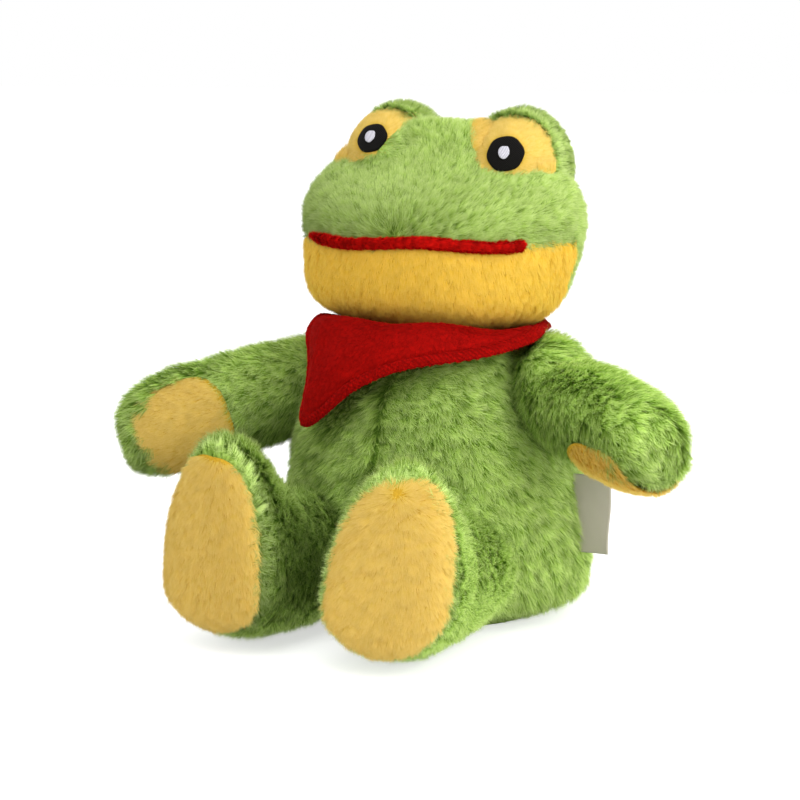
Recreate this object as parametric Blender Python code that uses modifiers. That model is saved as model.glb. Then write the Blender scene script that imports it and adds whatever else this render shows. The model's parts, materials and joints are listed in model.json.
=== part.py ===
"""A seated plush frog: stuffed body, head and limbs sewn from pile fabric, yellow
panels, an embroidered face and a red neckerchief.

Metres, +Z up. The frog looks along -Y, its left side is +X, and the origin is on
the floor under the middle of the seat."""

import math

import bmesh
import bpy
from mathutils import Matrix, Vector

COLLECTION = "plush_frog"
CUTTER_COLLECTION = "cutters"

# Fits shared by all pieces
GAP = 0.0003
CUP_CLEARANCE = 0.0006
SWING_CLEARANCE = 0.0005
OVERRUN = 0.02
MERGE_LIMIT = 0.00001

# Torso, a pear-shaped stuffed body that stands on a flat seat panel
TORSO_LOW = -0.012
TORSO_TOP = 0.159
TORSO_HALF_WIDTH = 0.0830
TORSO_BELLY_DEPTH = 0.0750
TORSO_BACK_DEPTH = 0.0720
TORSO_BLUNT_SHARE = 0.5
TORSO_ROW_SHARES = (
    # height, side, belly, back
    (0.0, 0.90, 0.90, 0.90),
    (0.12, 1.15, 1.06, 1.10),
    (0.24, 1.10, 1.08, 1.08),
    (0.38, 1.015, 1.06, 1.00),
    (0.52, 0.96, 1.03, 0.98),
    (0.64, 0.95, 0.99, 0.99),
    (0.76, 0.90, 0.95, 0.99),
    (0.86, 0.83, 0.87, 0.92),
    (0.93, 0.74, 0.77, 0.82),
    (1.0, 0.60, 0.64, 0.70),
)

# Seat panel and the pellet bag that weights the seat
SEAT_THICKNESS = 0.0025
SEAT_HALF_WIDTH = 0.060
SEAT_HALF_DEPTH = 0.055
SEAT_EDGE_BEVEL = 0.0008
BAG_HALF_WIDTH = 0.040
BAG_HALF_DEPTH = 0.036
BAG_HEIGHT = 0.052
POCKET_CLEARANCE = 0.0010

# Neck, a stuffed ball on the torso that the head turns round
NECK_RADIUS = 0.037
NECK_CENTRE = Vector((0.0, 0.004, 0.146))
HEAD_TURN_LIMITS = (-25.0, 25.0)
HEAD_TILT = 2.0

# Head, wide and blunt, with the muzzle in front
HEAD_LOW = 0.1545
HEAD_TOP = 0.2615
HEAD_CENTRE_X = -0.0010
HEAD_CENTRE_Y = 0.006
HEAD_HALF_WIDTH = 0.0772
HEAD_MUZZLE_DEPTH = 0.0660
HEAD_BACK_DEPTH = 0.0600
HEAD_BLUNT_SHARE = 0.5
HEAD_ROW_SHARES = (
    # height, side, muzzle, back
    (0.0, 1.20, 1.12, 0.98),
    (0.08, 1.12, 1.11, 0.94),
    (0.26, 1.02, 1.03, 0.95),
    (0.42, 1.00, 1.00, 1.00),
    (0.54, 1.01, 0.95, 1.00),
    (0.63, 1.00, 0.81, 1.00),
    (0.74, 0.95, 0.49, 0.99),
    (0.85, 0.86, 0.31, 0.94),
    (0.93, 0.75, 0.28, 0.86),
    (1.0, 0.66, 0.26, 0.80),
)

# Jaw panel, the yellow lower front quarter of the head
MOUTH_ABOVE_CHIN = 0.0415
MOUTH_HEIGHT = HEAD_LOW + MOUTH_ABOVE_CHIN
MOUTH_RISE = 0.006
SIDE_SEAM_Y = 0.006

# Lip, a rolled strip stitched into the mouth seam
LIP_HALF_HEIGHT = 0.0022
LIP_RIGHT_ANGLE = -48.0
LIP_LEFT_ANGLE = 53.0
LIP_STAND_OFF = 0.0004
LIP_POINTS = 27
LIP_BEVEL_RESOLUTION = 2

# Eyes: a padded mound with a yellow front, a green lid behind, and a sewn pupil
EYE_BELOW_TOP = 0.0250
EYE_CENTRE = Vector((0.036, 0.018, HEAD_TOP - EYE_BELOW_TOP))
EYE_RADII = Vector((0.0265, 0.0330, 0.0300))
LID_PLANE_Y = 0.010
LID_GROWTH = 0.0024
PUPIL_LEFT_SHARES = (0.12, -0.90, 0.30)
PUPIL_RIGHT_SHARES = (-0.06, -0.90, 0.44)
PUPIL_HALF_WIDTH = 0.0100
PUPIL_HALF_HEIGHT = 0.0094
PUPIL_THICKNESS = 0.0012
HIGHLIGHT_RADIUS = 0.0031
HIGHLIGHT_THICKNESS = 0.0008

# Arms, each a tapering tube on a shoulder ball, with a panel in the palm
SHOULDER = Vector((0.050, 0.002, 0.1295))
SHOULDER_RADIUS = 0.0210
ARM_LENGTH = 0.131
ARM_HALF_WIDTH = 0.0270
ARM_HALF_THICKNESS = 0.0255
ARM_BLUNT_SHARE = 0.55
ARM_ROW_SHARES = (
    # length, side, palm, back
    (0.0, 0.95, 0.95, 0.95),
    (0.20, 1.03, 0.98, 1.08),
    (0.42, 1.05, 1.00, 1.10),
    (0.62, 1.03, 0.99, 1.04),
    (0.80, 1.10, 1.02, 1.06),
    (0.92, 1.16, 1.04, 1.10),
    (1.0, 1.18, 1.04, 1.10),
)
ARM_FORWARD_LEFT = 34.0
ARM_FORWARD_RIGHT = 37.0
ARM_DROP_LEFT = 11.8
ARM_DROP_RIGHT = 17.8
ARM_TWIST_LEFT = 18.0
ARM_TWIST_RIGHT = 92.0
ARM_SWING_LIMITS = (-30.0, 12.0)
PALM_START = 0.075
PALM_END = 0.122
PALM_FLOOR = 0.0150
PALM_HALF_WIDTH = 0.0250
PALM_CORNER = 0.017

# Legs, each a stuffed tube on a hip ball that turns up into an upright foot
HIP = Vector((0.036, -0.024, 0.0375))
HIP_RADIUS = 0.0350
LEG_LENGTH = 0.128
LEG_HALF_WIDTH = 0.0350
LEG_HALF_HEIGHT = 0.0360
LEG_BLUNT_SHARE = 0.34
LEG_ROW_SHARES = (
    # length, side, upper, under
    (0.0, 0.95, 0.98, 0.96),
    (0.20, 0.96, 1.00, 0.98),
    (0.42, 0.93, 1.02, 0.97),
    (0.58, 0.94, 1.16, 0.97),
    (0.70, 1.00, 1.60, 0.98),
    (0.80, 1.09, 2.04, 0.99),
    (0.90, 1.17, 2.32, 0.94),
    (1.0, 1.29, 2.54, 0.80),
)
LEG_SPLAY_LEFT = 2.0
LEG_SPLAY_RIGHT = 9.0
LEG_SPLAY_LIMITS = (-5.0, 10.0)
SOLE_DEPTH = 0.008
SOLE_PLANE = LEG_LENGTH - SOLE_DEPTH
SOLE_TOE_OUT = 6.0
FOOT_LEAN_LEFT_SHARE = 0.42
FOOT_LEAN_RIGHT_SHARE = 0.06
FOOT_HEIGHT_LEFT_SHARE = 0.90
FOOT_HEIGHT_RIGHT_SHARE = 1.03

# Neckerchief, a triangular cloth wrapped round the neck with its point in front
CLOTH_THICKNESS = 0.0022
CLOTH_COLUMNS = 60
CLOTH_ROWS = 7
CLOTH_TURN_LIMITS = (-6.0, 6.0)
CLOTH_REACH = 0.0825
CLOTH_TOP = 0.1560
CLOTH_DROP = 0.0500
CLOTH_PROFILE_SHARES = (
    # share of the reach, and share of the drop, from the neck outwards and down the chest
    (0.533, 0.094),
    (0.642, 0.062),
    (0.752, 0.030),
    (0.852, 0.040),
    (0.918, 0.210),
    (0.964, 0.570),
    (1.0, 1.0),
)
CLOTH_EDGE_SHARES = (
    # angle from the front, and the share of the profile that the cloth covers
    (-180.0, 0.24),
    (-110.0, 0.30),
    (-70.0, 0.40),
    (-50.0, 0.52),
    (-37.0, 0.66),
    (-28.0, 1.00),
    (-16.0, 0.91),
    (0.0, 0.76),
    (14.0, 0.64),
    (45.0, 0.53),
    (85.0, 0.40),
    (180.0, 0.24),
)
KNOT_HALF_WIDTH = 0.0110
KNOT_HALF_DEPTH = 0.0075
KNOT_HALF_HEIGHT = 0.0080
KNOT_STEPS = 12

# Side label, a folded satin ribbon caught in the left side seam
LABEL_HEIGHT = 0.0410
LABEL_REACH = 0.0170
LABEL_THICKNESS = 0.0012
LABEL_LOW = 0.0380
LABEL_LIMITS = (-50.0, 50.0)

# Facets
TORSO_FACETS = (32, 22)
HEAD_FACETS = (36, 24)
LIMB_FACETS = (22, 18)
BALL_FACETS = (24, 14)
EYE_FACETS = (20, 14)
DISC_FACETS = 20

# Material colours, linear, with their roughness
GREEN = ((0.30, 0.50, 0.11), 0.95)
YELLOW = ((0.82, 0.54, 0.08), 0.95)
RED = ((0.45, 0.01, 0.01), 0.90)
BLACK = ((0.01, 0.01, 0.01), 0.80)
WHITE = ((0.60, 0.60, 0.66), 0.70)
SATIN = ((0.42, 0.40, 0.33), 0.50)
PELLETS = ((0.60, 0.57, 0.50), 0.80)

UP = Vector((0.0, 0.0, 1.0))


def clear_scene():
    """Remove whatever the open file holds, and start two collections."""
    for obj in list(bpy.data.objects):
        bpy.data.objects.remove(obj, do_unlink=True)
    for name in (COLLECTION, CUTTER_COLLECTION):
        bpy.context.scene.collection.children.link(bpy.data.collections.new(name))


def paint(obj, name, look):
    """Give an object its own Principled material."""
    colour, roughness = look
    material = bpy.data.materials.new(name)
    material.use_nodes = True
    shader = material.node_tree.nodes["Principled BSDF"]
    shader.inputs["Base Color"].default_value = (*colour, 1.0)
    shader.inputs["Roughness"].default_value = roughness
    shader.inputs["Metallic"].default_value = 0.0
    material.diffuse_color = (*colour, 1.0)
    obj.data.materials.append(material)


def add_object(name, bm, collection_name):
    """Make an object of a bmesh in one of the two collections."""
    mesh = bpy.data.meshes.new(name)
    bmesh.ops.recalc_face_normals(bm, faces=bm.faces)
    bm.to_mesh(mesh)
    bm.free()
    mesh.shade_smooth()
    obj = bpy.data.objects.new(name, mesh)
    bpy.data.collections[collection_name].objects.link(obj)
    return obj


def add_piece(name, bm, look, parent=None):
    """Add a named piece of the toy, under its joint's empty if it has one."""
    obj = add_object(name, bm, COLLECTION)
    obj.parent = parent
    paint(obj, name, look)
    return obj


def add_cutter(name, bm, matrix=None):
    """Add a shape that only cuts others."""
    obj = add_object(name, bm, CUTTER_COLLECTION)
    obj.hide_render = True
    obj.display_type = "WIRE"
    obj.matrix_world = matrix or Matrix.Identity(4)
    return obj


def add_empty(name, matrix):
    """Add an empty at a joint, turned the way its piece points."""
    obj = bpy.data.objects.new(name, None)
    bpy.data.collections[COLLECTION].objects.link(obj)
    obj.matrix_world = matrix
    return obj


def combine(obj, tool, operation):
    """Cut a piece by a cutter, join it, or keep what they share."""
    modifier = obj.modifiers.new(f"{operation}_{tool.name}".lower(), "BOOLEAN")
    modifier.operation = operation
    modifier.solver = "EXACT"
    modifier.object = tool


def smooth_share(share, rows, column):
    """Read a column of a table at any share, on a curve through its rows."""
    last = len(rows) - 1
    index = max(i for i in range(last) if rows[i][0] <= share or i == 0)
    before, low = rows[max(index - 1, 0)], rows[index]
    high, after = rows[index + 1], rows[min(index + 2, last)]
    span = high[0] - low[0]
    t = (share - low[0]) / span
    leave = span * (high[column] - before[column]) / (high[0] - before[0])
    arrive = span * (after[column] - low[column]) / (after[0] - low[0])
    rise = high[column] - low[column]
    bend = t * (1 - t) * ((1 - t) * (leave - rise) - t * (arrive - rise))
    return low[column] + rise * t + bend


def form_point(direction, low, length, halves, blunt, rows, grow):
    """Carry a point of the unit sphere to the surface of a stuffed form.

    The form rises along Z from low. Its side, front and back depths follow the
    table, and close at both ends with a round end that blunt flattens."""
    round_part = math.hypot(direction.x, direction.y)
    share = (1 + direction.z) / 2
    depth_column = 2 if direction.y < 0 else 3
    end = round_part ** blunt
    side = halves[0] * smooth_share(share, rows, 1) * end
    depth = halves[depth_column - 1] * smooth_share(share, rows, depth_column) * end
    if round_part < MERGE_LIMIT:
        return Vector((0.0, 0.0, low + share * length + math.copysign(grow, direction.z)))
    across = Vector((direction.x, direction.y, 0.0)) / round_part
    height = low + share * length + grow * direction.z
    return Vector((across.x * (side + grow), across.y * (depth + grow), height))


def stuffed_form(low, length, halves, blunt, rows, facets, grow=0.0):
    """A closed stuffed form: a UV sphere carried onto a table of sections."""
    bm = bmesh.new()
    bmesh.ops.create_uvsphere(bm, u_segments=facets[0], v_segments=facets[1], radius=1)
    for vert in bm.verts:
        vert.co = form_point(vert.co.normalized(), low, length, halves, blunt, rows, grow)
    return bm


def ellipsoid(centre, radii, facets):
    """A UV sphere stretched to three radii."""
    bm = bmesh.new()
    bmesh.ops.create_uvsphere(bm, u_segments=facets[0], v_segments=facets[1], radius=1)
    bmesh.ops.scale(bm, vec=radii, verts=bm.verts)
    bmesh.ops.translate(bm, vec=centre, verts=bm.verts)
    return bm


def ball(centre, radius):
    """A round stuffed joint."""
    return ellipsoid(centre, Vector((radius, radius, radius)), BALL_FACETS)


def block(low, high):
    """A box between two corners."""
    bm = bmesh.new()
    bmesh.ops.create_cube(bm, size=1)
    bmesh.ops.scale(bm, vec=high - low, verts=bm.verts)
    bmesh.ops.translate(bm, vec=(low + high) / 2, verts=bm.verts)
    return bm


def rod(radii, low, high, facets):
    """An upright oval rod between two heights."""
    bm = bmesh.new()
    bmesh.ops.create_cone(
        bm, cap_ends=True, segments=facets, radius1=1, radius2=1, depth=1
    )
    bmesh.ops.scale(bm, vec=(radii[0], radii[1], high - low), verts=bm.verts)
    bmesh.ops.translate(bm, vec=(0.0, 0.0, (low + high) / 2), verts=bm.verts)
    return bm


def frame_matrix(origin, x_axis, y_axis, z_axis):
    """A placement from its origin and its three axes."""
    matrix = Matrix((x_axis, y_axis, z_axis)).transposed().to_4x4()
    matrix.translation = origin
    return matrix


def turn_about(point, axis, degrees):
    """A turn about an axis through a point."""
    turn = Matrix.Rotation(math.radians(degrees), 4, axis)
    return Matrix.Translation(point) @ turn @ Matrix.Translation(-point)


def mirrored(vector, side):
    """A point or direction on the frog's left (side 1) or right (side -1)."""
    return Vector((vector.x * side, vector.y, vector.z))


def torso_form(grow=0.0):
    """The torso's stuffed form, before anything is joined to it."""
    return stuffed_form(
        TORSO_LOW,
        TORSO_TOP - TORSO_LOW,
        (TORSO_HALF_WIDTH, TORSO_BELLY_DEPTH, TORSO_BACK_DEPTH),
        TORSO_BLUNT_SHARE,
        TORSO_ROW_SHARES,
        TORSO_FACETS,
        grow,
    )


def head_form(grow=0.0):
    """The head's stuffed form, jaw included."""
    bm = stuffed_form(
        HEAD_LOW,
        HEAD_TOP - HEAD_LOW,
        (HEAD_HALF_WIDTH, HEAD_MUZZLE_DEPTH, HEAD_BACK_DEPTH),
        HEAD_BLUNT_SHARE,
        HEAD_ROW_SHARES,
        HEAD_FACETS,
        grow,
    )
    bmesh.ops.translate(bm, vec=(HEAD_CENTRE_X, HEAD_CENTRE_Y, 0.0), verts=bm.verts)
    return bm


def torso_sweep(name, pivot, axis, limits):
    """Cutters of the torso's form at both ends of a swing, with room between."""
    sweep = []
    for end, degrees in zip(("low", "high"), limits):
        place = turn_about(pivot, axis, -degrees)
        sweep.append(add_cutter(f"torso_at_{name}_{end}", torso_form(SWING_CLEARANCE), place))
    return sweep


def make_torso():
    """Torso with shoulder, hip and neck balls, cut flat over the seat panel."""
    torso = add_piece("torso", torso_form(), GREEN)
    balls = [("neck_ball", NECK_CENTRE, NECK_RADIUS)]
    for name, side in (("left", 1), ("right", -1)):
        balls.append((f"shoulder_ball_{name}", mirrored(SHOULDER, side), SHOULDER_RADIUS))
        balls.append((f"hip_ball_{name}", mirrored(HIP, side), HIP_RADIUS))
    for name, centre, radius in balls:
        combine(torso, add_cutter(name, ball(centre, radius)), "UNION")
    reach = TORSO_HALF_WIDTH + OVERRUN
    under_seat = block(
        Vector((-reach, -reach, TORSO_LOW - OVERRUN)),
        Vector((reach, reach, SEAT_THICKNESS + GAP)),
    )
    combine(torso, add_cutter("under_seat", under_seat), "DIFFERENCE")
    pocket_radii = Vector((
        BAG_HALF_WIDTH + POCKET_CLEARANCE,
        BAG_HALF_DEPTH + POCKET_CLEARANCE,
        BAG_HEIGHT + POCKET_CLEARANCE,
    ))
    pocket = ellipsoid(Vector((0.0, 0.0, SEAT_THICKNESS)), pocket_radii, EYE_FACETS)
    combine(torso, add_cutter("bag_pocket", pocket), "DIFFERENCE")


def make_seat():
    """Flat oval seat panel, and the pellet bag that lies on it in the pocket."""
    panel = add_piece(
        "seat_panel",
        rod((SEAT_HALF_WIDTH, SEAT_HALF_DEPTH), 0.0, SEAT_THICKNESS, TORSO_FACETS[0]),
        GREEN,
    )
    bevel = panel.modifiers.new("edge", "BEVEL")
    bevel.width = SEAT_EDGE_BEVEL
    bevel.segments = 2
    bag_radii = Vector((BAG_HALF_WIDTH, BAG_HALF_DEPTH, BAG_HEIGHT))
    bag = add_piece(
        "pellet_bag",
        ellipsoid(Vector((0.0, 0.0, SEAT_THICKNESS)), bag_radii, EYE_FACETS),
        PELLETS,
    )
    reach = BAG_HALF_WIDTH + OVERRUN
    under_bag = block(
        Vector((-reach, -reach, -BAG_HEIGHT - OVERRUN)),
        Vector((reach, reach, SEAT_THICKNESS + GAP)),
    )
    combine(bag, add_cutter("under_bag", under_bag), "DIFFERENCE")


def head_tilt():
    """The head's lean towards the frog's left, about the middle of the neck."""
    return turn_about(NECK_CENTRE, Vector((0.0, 1.0, 0.0)), HEAD_TILT)


def jaw_region(name, gap):
    """The space in front of the side seam and under the mouth seam.

    Its top slopes up towards the muzzle, as the mouth seam does."""
    reach = HEAD_HALF_WIDTH + OVERRUN
    region = block(
        Vector((-reach, -reach - OVERRUN, HEAD_LOW - OVERRUN)),
        Vector((reach, SIDE_SEAM_Y + gap, MOUTH_HEIGHT + gap)),
    )
    slope = MOUTH_RISE / HEAD_MUZZLE_DEPTH
    for vert in region.verts:
        if vert.co.z > HEAD_LOW:
            vert.co.z += slope * (SIDE_SEAM_Y - vert.co.y)
    return add_cutter(name, region, head_tilt())


def make_head(parent):
    """Head and jaw panel, parted at the seams and cupped over the neck ball."""
    place = Matrix.Translation(-NECK_CENTRE)
    head = add_piece("head", head_form(), GREEN, parent)
    head.matrix_local = place
    jaw = add_piece("jaw", head_form(), YELLOW, parent)
    jaw.matrix_local = place
    combine(head, jaw_region("jaw_space", GAP), "DIFFERENCE")
    combine(jaw, jaw_region("jaw_panel", 0.0), "INTERSECT")
    neck_cup = add_cutter("neck_cup", ball(NECK_CENTRE, NECK_RADIUS + CUP_CLEARANCE))
    turn_axis = head_tilt().to_3x3() @ UP
    torso_clear = torso_sweep("head", NECK_CENTRE, turn_axis, HEAD_TURN_LIMITS)
    for piece in (head, jaw):
        for tool in (neck_cup, *torso_clear):
            combine(piece, tool, "DIFFERENCE")


def muzzle_point(angle, height, stand_off):
    """A point on the head's skin at an angle from the front and a height."""
    share = (height - HEAD_LOW) / (HEAD_TOP - HEAD_LOW)
    z = 2 * share - 1
    round_part = math.sqrt(1 - z * z)
    direction = Vector((
        math.sin(angle) * round_part, -math.cos(angle) * round_part, z
    ))
    halves = (HEAD_HALF_WIDTH, HEAD_MUZZLE_DEPTH, HEAD_BACK_DEPTH)
    point = form_point(
        direction, HEAD_LOW, HEAD_TOP - HEAD_LOW, halves,
        HEAD_BLUNT_SHARE, HEAD_ROW_SHARES, stand_off,
    )
    point.x += HEAD_CENTRE_X
    point.y += HEAD_CENTRE_Y
    point.z = height
    return point


def make_lip(parent):
    """Rolled lip: a cord along the mouth seam, half bedded in the face."""
    curve = bpy.data.curves.new("mouth_lip", "CURVE")
    curve.dimensions = "3D"
    curve.bevel_depth = LIP_HALF_HEIGHT
    curve.bevel_resolution = LIP_BEVEL_RESOLUTION
    curve.use_fill_caps = True
    spline = curve.splines.new("POLY")
    spline.points.add(LIP_POINTS - 1)
    slope = MOUTH_RISE / HEAD_MUZZLE_DEPTH
    stand_off = LIP_HALF_HEIGHT + LIP_STAND_OFF
    for index, point in enumerate(spline.points):
        turn = index / (LIP_POINTS - 1)
        angle = math.radians(LIP_RIGHT_ANGLE + (LIP_LEFT_ANGLE - LIP_RIGHT_ANGLE) * turn)
        forward = HEAD_MUZZLE_DEPTH * math.cos(angle)
        height = MOUTH_HEIGHT + slope * forward
        point.co = (*muzzle_point(angle, height, stand_off), 1.0)
    guide = bpy.data.objects.new("lip_guide", curve)
    bpy.context.scene.collection.objects.link(guide)
    depsgraph = bpy.context.evaluated_depsgraph_get()
    mesh = bpy.data.meshes.new_from_object(guide.evaluated_get(depsgraph))
    bm = bmesh.new()
    bm.from_mesh(mesh)
    bmesh.ops.remove_doubles(bm, verts=bm.verts, dist=MERGE_LIMIT)
    bpy.data.objects.remove(guide, do_unlink=True)
    lip = add_piece("mouth_lip", bm, RED, parent)
    lip.matrix_local = Matrix.Translation(-NECK_CENTRE)


def make_eye(name, side, parent):
    """Eye mound split into pad and lid, with the pupil and its highlight."""
    place = Matrix.Translation(-NECK_CENTRE)
    tilt = head_tilt()
    centre = mirrored(EYE_CENTRE, side)
    reach = EYE_RADII + Vector((OVERRUN, OVERRUN, OVERRUN))
    head_clear = add_cutter(f"head_under_eye_{name}", head_form(GAP), tilt)
    far_low, far_high = centre - reach, centre + reach
    front = block(far_low, Vector((far_high.x, LID_PLANE_Y, far_high.z)))
    back = block(Vector((far_low.x, LID_PLANE_Y + GAP, far_low.z)), far_high)
    growth = Vector((LID_GROWTH, LID_GROWTH, LID_GROWTH))
    halves = (
        (f"eye_pad_{name}", EYE_RADII, front, YELLOW),
        (f"eyelid_{name}", EYE_RADII + growth, back, GREEN),
    )
    for piece_name, radii, region, look in halves:
        piece = add_piece(piece_name, ellipsoid(centre, radii, EYE_FACETS), look, parent)
        piece.matrix_local = place
        combine(piece, add_cutter(f"side_of_{piece_name}", region, tilt), "INTERSECT")
        combine(piece, head_clear, "DIFFERENCE")
    gaze = Vector(PUPIL_LEFT_SHARES if side > 0 else PUPIL_RIGHT_SHARES).normalized()
    across = UP.cross(gaze).normalized()
    gaze_frame = frame_matrix(centre, across, gaze.cross(across), gaze)
    layers = (
        (f"pupil_{name}", 0.0, PUPIL_THICKNESS, (PUPIL_HALF_WIDTH, PUPIL_HALF_HEIGHT), BLACK),
        (
            f"highlight_{name}",
            PUPIL_THICKNESS + GAP,
            HIGHLIGHT_THICKNESS,
            (HIGHLIGHT_RADIUS, HIGHLIGHT_RADIUS),
            WHITE,
        ),
    )
    for piece_name, lift, thickness, radii, look in layers:
        under = EYE_RADII + Vector((1, 1, 1)) * (lift + GAP)
        over = under + Vector((1, 1, 1)) * thickness
        disc = add_piece(piece_name, rod(radii, 0.0, over.y + OVERRUN, DISC_FACETS), look, parent)
        disc.matrix_local = place @ gaze_frame
        outside = add_cutter(f"over_{piece_name}", ellipsoid(centre, over, EYE_FACETS), tilt)
        inside = add_cutter(f"under_{piece_name}", ellipsoid(centre, under, EYE_FACETS), tilt)
        combine(disc, outside, "INTERSECT")
        combine(disc, inside, "DIFFERENCE")
        combine(disc, head_clear, "DIFFERENCE")


def arm_frame(side):
    """Placement of an arm: Z along it from the shoulder, -Y through the palm."""
    forward = math.radians(ARM_FORWARD_LEFT if side > 0 else ARM_FORWARD_RIGHT)
    drop = math.radians(ARM_DROP_LEFT if side > 0 else ARM_DROP_RIGHT)
    along = Vector((
        side * math.cos(forward) * math.cos(drop),
        -math.sin(forward) * math.cos(drop),
        -math.sin(drop),
    ))
    palm = -(UP - along * along.dot(UP)).normalized()
    twist = ARM_TWIST_LEFT if side > 0 else ARM_TWIST_RIGHT
    palm.rotate(Matrix.Rotation(math.radians(twist * -side), 3, along))
    return frame_matrix(mirrored(SHOULDER, side), (-palm).cross(along), -palm, along)


def palm_block(grow):
    """A rounded block over the palm side of the hand, in the arm's own frame."""
    half = PALM_HALF_WIDTH + grow
    bm = block(
        Vector((-half, -ARM_HALF_THICKNESS - OVERRUN, PALM_START - grow)),
        Vector((half, -PALM_FLOOR + grow, PALM_END + grow)),
    )
    upright = [e for e in bm.edges if abs(e.verts[0].co.y - e.verts[1].co.y) > MERGE_LIMIT]
    bmesh.ops.bevel(
        bm, geom=upright, offset=PALM_CORNER, offset_type="OFFSET",
        segments=4, profile=0.5, affect="EDGES",
    )
    return bm


def make_arm(name, side):
    """Arm with its palm panel, cupped over the shoulder ball."""
    frame = arm_frame(side)
    shoulder = add_empty(f"shoulder_{name}", frame)
    halves = (ARM_HALF_WIDTH, ARM_HALF_THICKNESS, ARM_HALF_THICKNESS)
    pieces = []
    for piece_name, look in ((f"arm_{name}", GREEN), (f"palm_{name}", YELLOW)):
        form = stuffed_form(0.0, ARM_LENGTH, halves, ARM_BLUNT_SHARE, ARM_ROW_SHARES, LIMB_FACETS)
        pieces.append(add_piece(piece_name, form, look, shoulder))
    arm, palm = pieces
    combine(arm, add_cutter(f"palm_space_{name}", palm_block(GAP), frame), "DIFFERENCE")
    combine(palm, add_cutter(f"palm_panel_{name}", palm_block(0.0), frame), "INTERSECT")
    cup = ball(mirrored(SHOULDER, side), SHOULDER_RADIUS + CUP_CLEARANCE)
    combine(arm, add_cutter(f"shoulder_cup_{name}", cup), "DIFFERENCE")
    limits = [side * degrees for degrees in ARM_SWING_LIMITS]
    for tool in torso_sweep(f"arm_{name}", mirrored(SHOULDER, side), -UP, limits):
        combine(arm, tool, "DIFFERENCE")


def leg_frame(side):
    """Placement of a leg: Z forward from the hip, -Y up."""
    splay = math.radians(LEG_SPLAY_LEFT if side > 0 else LEG_SPLAY_RIGHT)
    forward = Vector((side * math.sin(splay), -math.cos(splay), 0.0))
    return frame_matrix(mirrored(HIP, side), forward.cross(UP), -UP, forward)


def foot_lean(side):
    """How far a foot leans back for each unit of its height."""
    return FOOT_LEAN_LEFT_SHARE if side > 0 else FOOT_LEAN_RIGHT_SHARE


def leg_form(side):
    """A leg's stuffed form, which turns up into the foot at its end.

    The foot leans back: what is high moves towards the hip, most at the sole."""
    upper = FOOT_HEIGHT_LEFT_SHARE if side > 0 else FOOT_HEIGHT_RIGHT_SHARE
    halves = (LEG_HALF_WIDTH, LEG_HALF_HEIGHT * upper, LEG_HALF_HEIGHT)
    form = stuffed_form(0.0, LEG_LENGTH, halves, LEG_BLUNT_SHARE, LEG_ROW_SHARES, LIMB_FACETS)
    for vert in form.verts:
        reach = min(max(vert.co.z / LEG_LENGTH, 0.0), 1.0)
        vert.co.z += foot_lean(side) * vert.co.y * reach * reach
    return form


def sole_block(side, gap):
    """Everything in front of the sole's plane, which toes out and leans back."""
    reach = LEG_HALF_HEIGHT * LEG_ROW_SHARES[-1][2] + OVERRUN
    bm = block(Vector((-reach, -reach, -gap)), Vector((reach, reach, reach)))
    toe_out = Matrix.Rotation(math.radians(SOLE_TOE_OUT * -side), 4, "Y")
    slope = foot_lean(side) * (SOLE_PLANE / LEG_LENGTH) ** 2
    lean = Matrix.Rotation(math.atan(slope), 4, "X")
    place = Matrix.Translation(Vector((0.0, 0.0, SOLE_PLANE))) @ toe_out @ lean
    bmesh.ops.transform(bm, matrix=place, verts=bm.verts)
    return bm


def make_leg(name, side):
    """Leg with its sole panel, cupped over the hip ball."""
    frame = leg_frame(side)
    hip = add_empty(f"hip_{name}", frame)
    pieces = []
    for piece_name, look in ((f"leg_{name}", GREEN), (f"sole_{name}", YELLOW)):
        pieces.append(add_piece(piece_name, leg_form(side), look, hip))
    leg, sole = pieces
    combine(leg, add_cutter(f"sole_space_{name}", sole_block(side, GAP), frame), "DIFFERENCE")
    combine(sole, add_cutter(f"sole_panel_{name}", sole_block(side, 0.0), frame), "INTERSECT")
    cup = ball(mirrored(HIP, side), HIP_RADIUS + CUP_CLEARANCE)
    combine(leg, add_cutter(f"hip_cup_{name}", cup), "DIFFERENCE")
    limits = [side * degrees for degrees in LEG_SPLAY_LIMITS]
    for tool in torso_sweep(f"leg_{name}", mirrored(HIP, side), UP, limits):
        combine(leg, tool, "DIFFERENCE")


def cloth_point(degrees, cover):
    """A point of the neckerchief: an angle from the front, and how far down."""
    along = cover * (len(CLOTH_PROFILE_SHARES) - 1)
    rows = tuple((i, *shares) for i, shares in enumerate(CLOTH_PROFILE_SHARES))
    radius = CLOTH_REACH * smooth_share(along, rows, 1)
    height = CLOTH_TOP - CLOTH_DROP * smooth_share(along, rows, 2)
    angle = math.radians(degrees)
    return Vector((radius * math.sin(angle), -radius * math.cos(angle), height))


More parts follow.
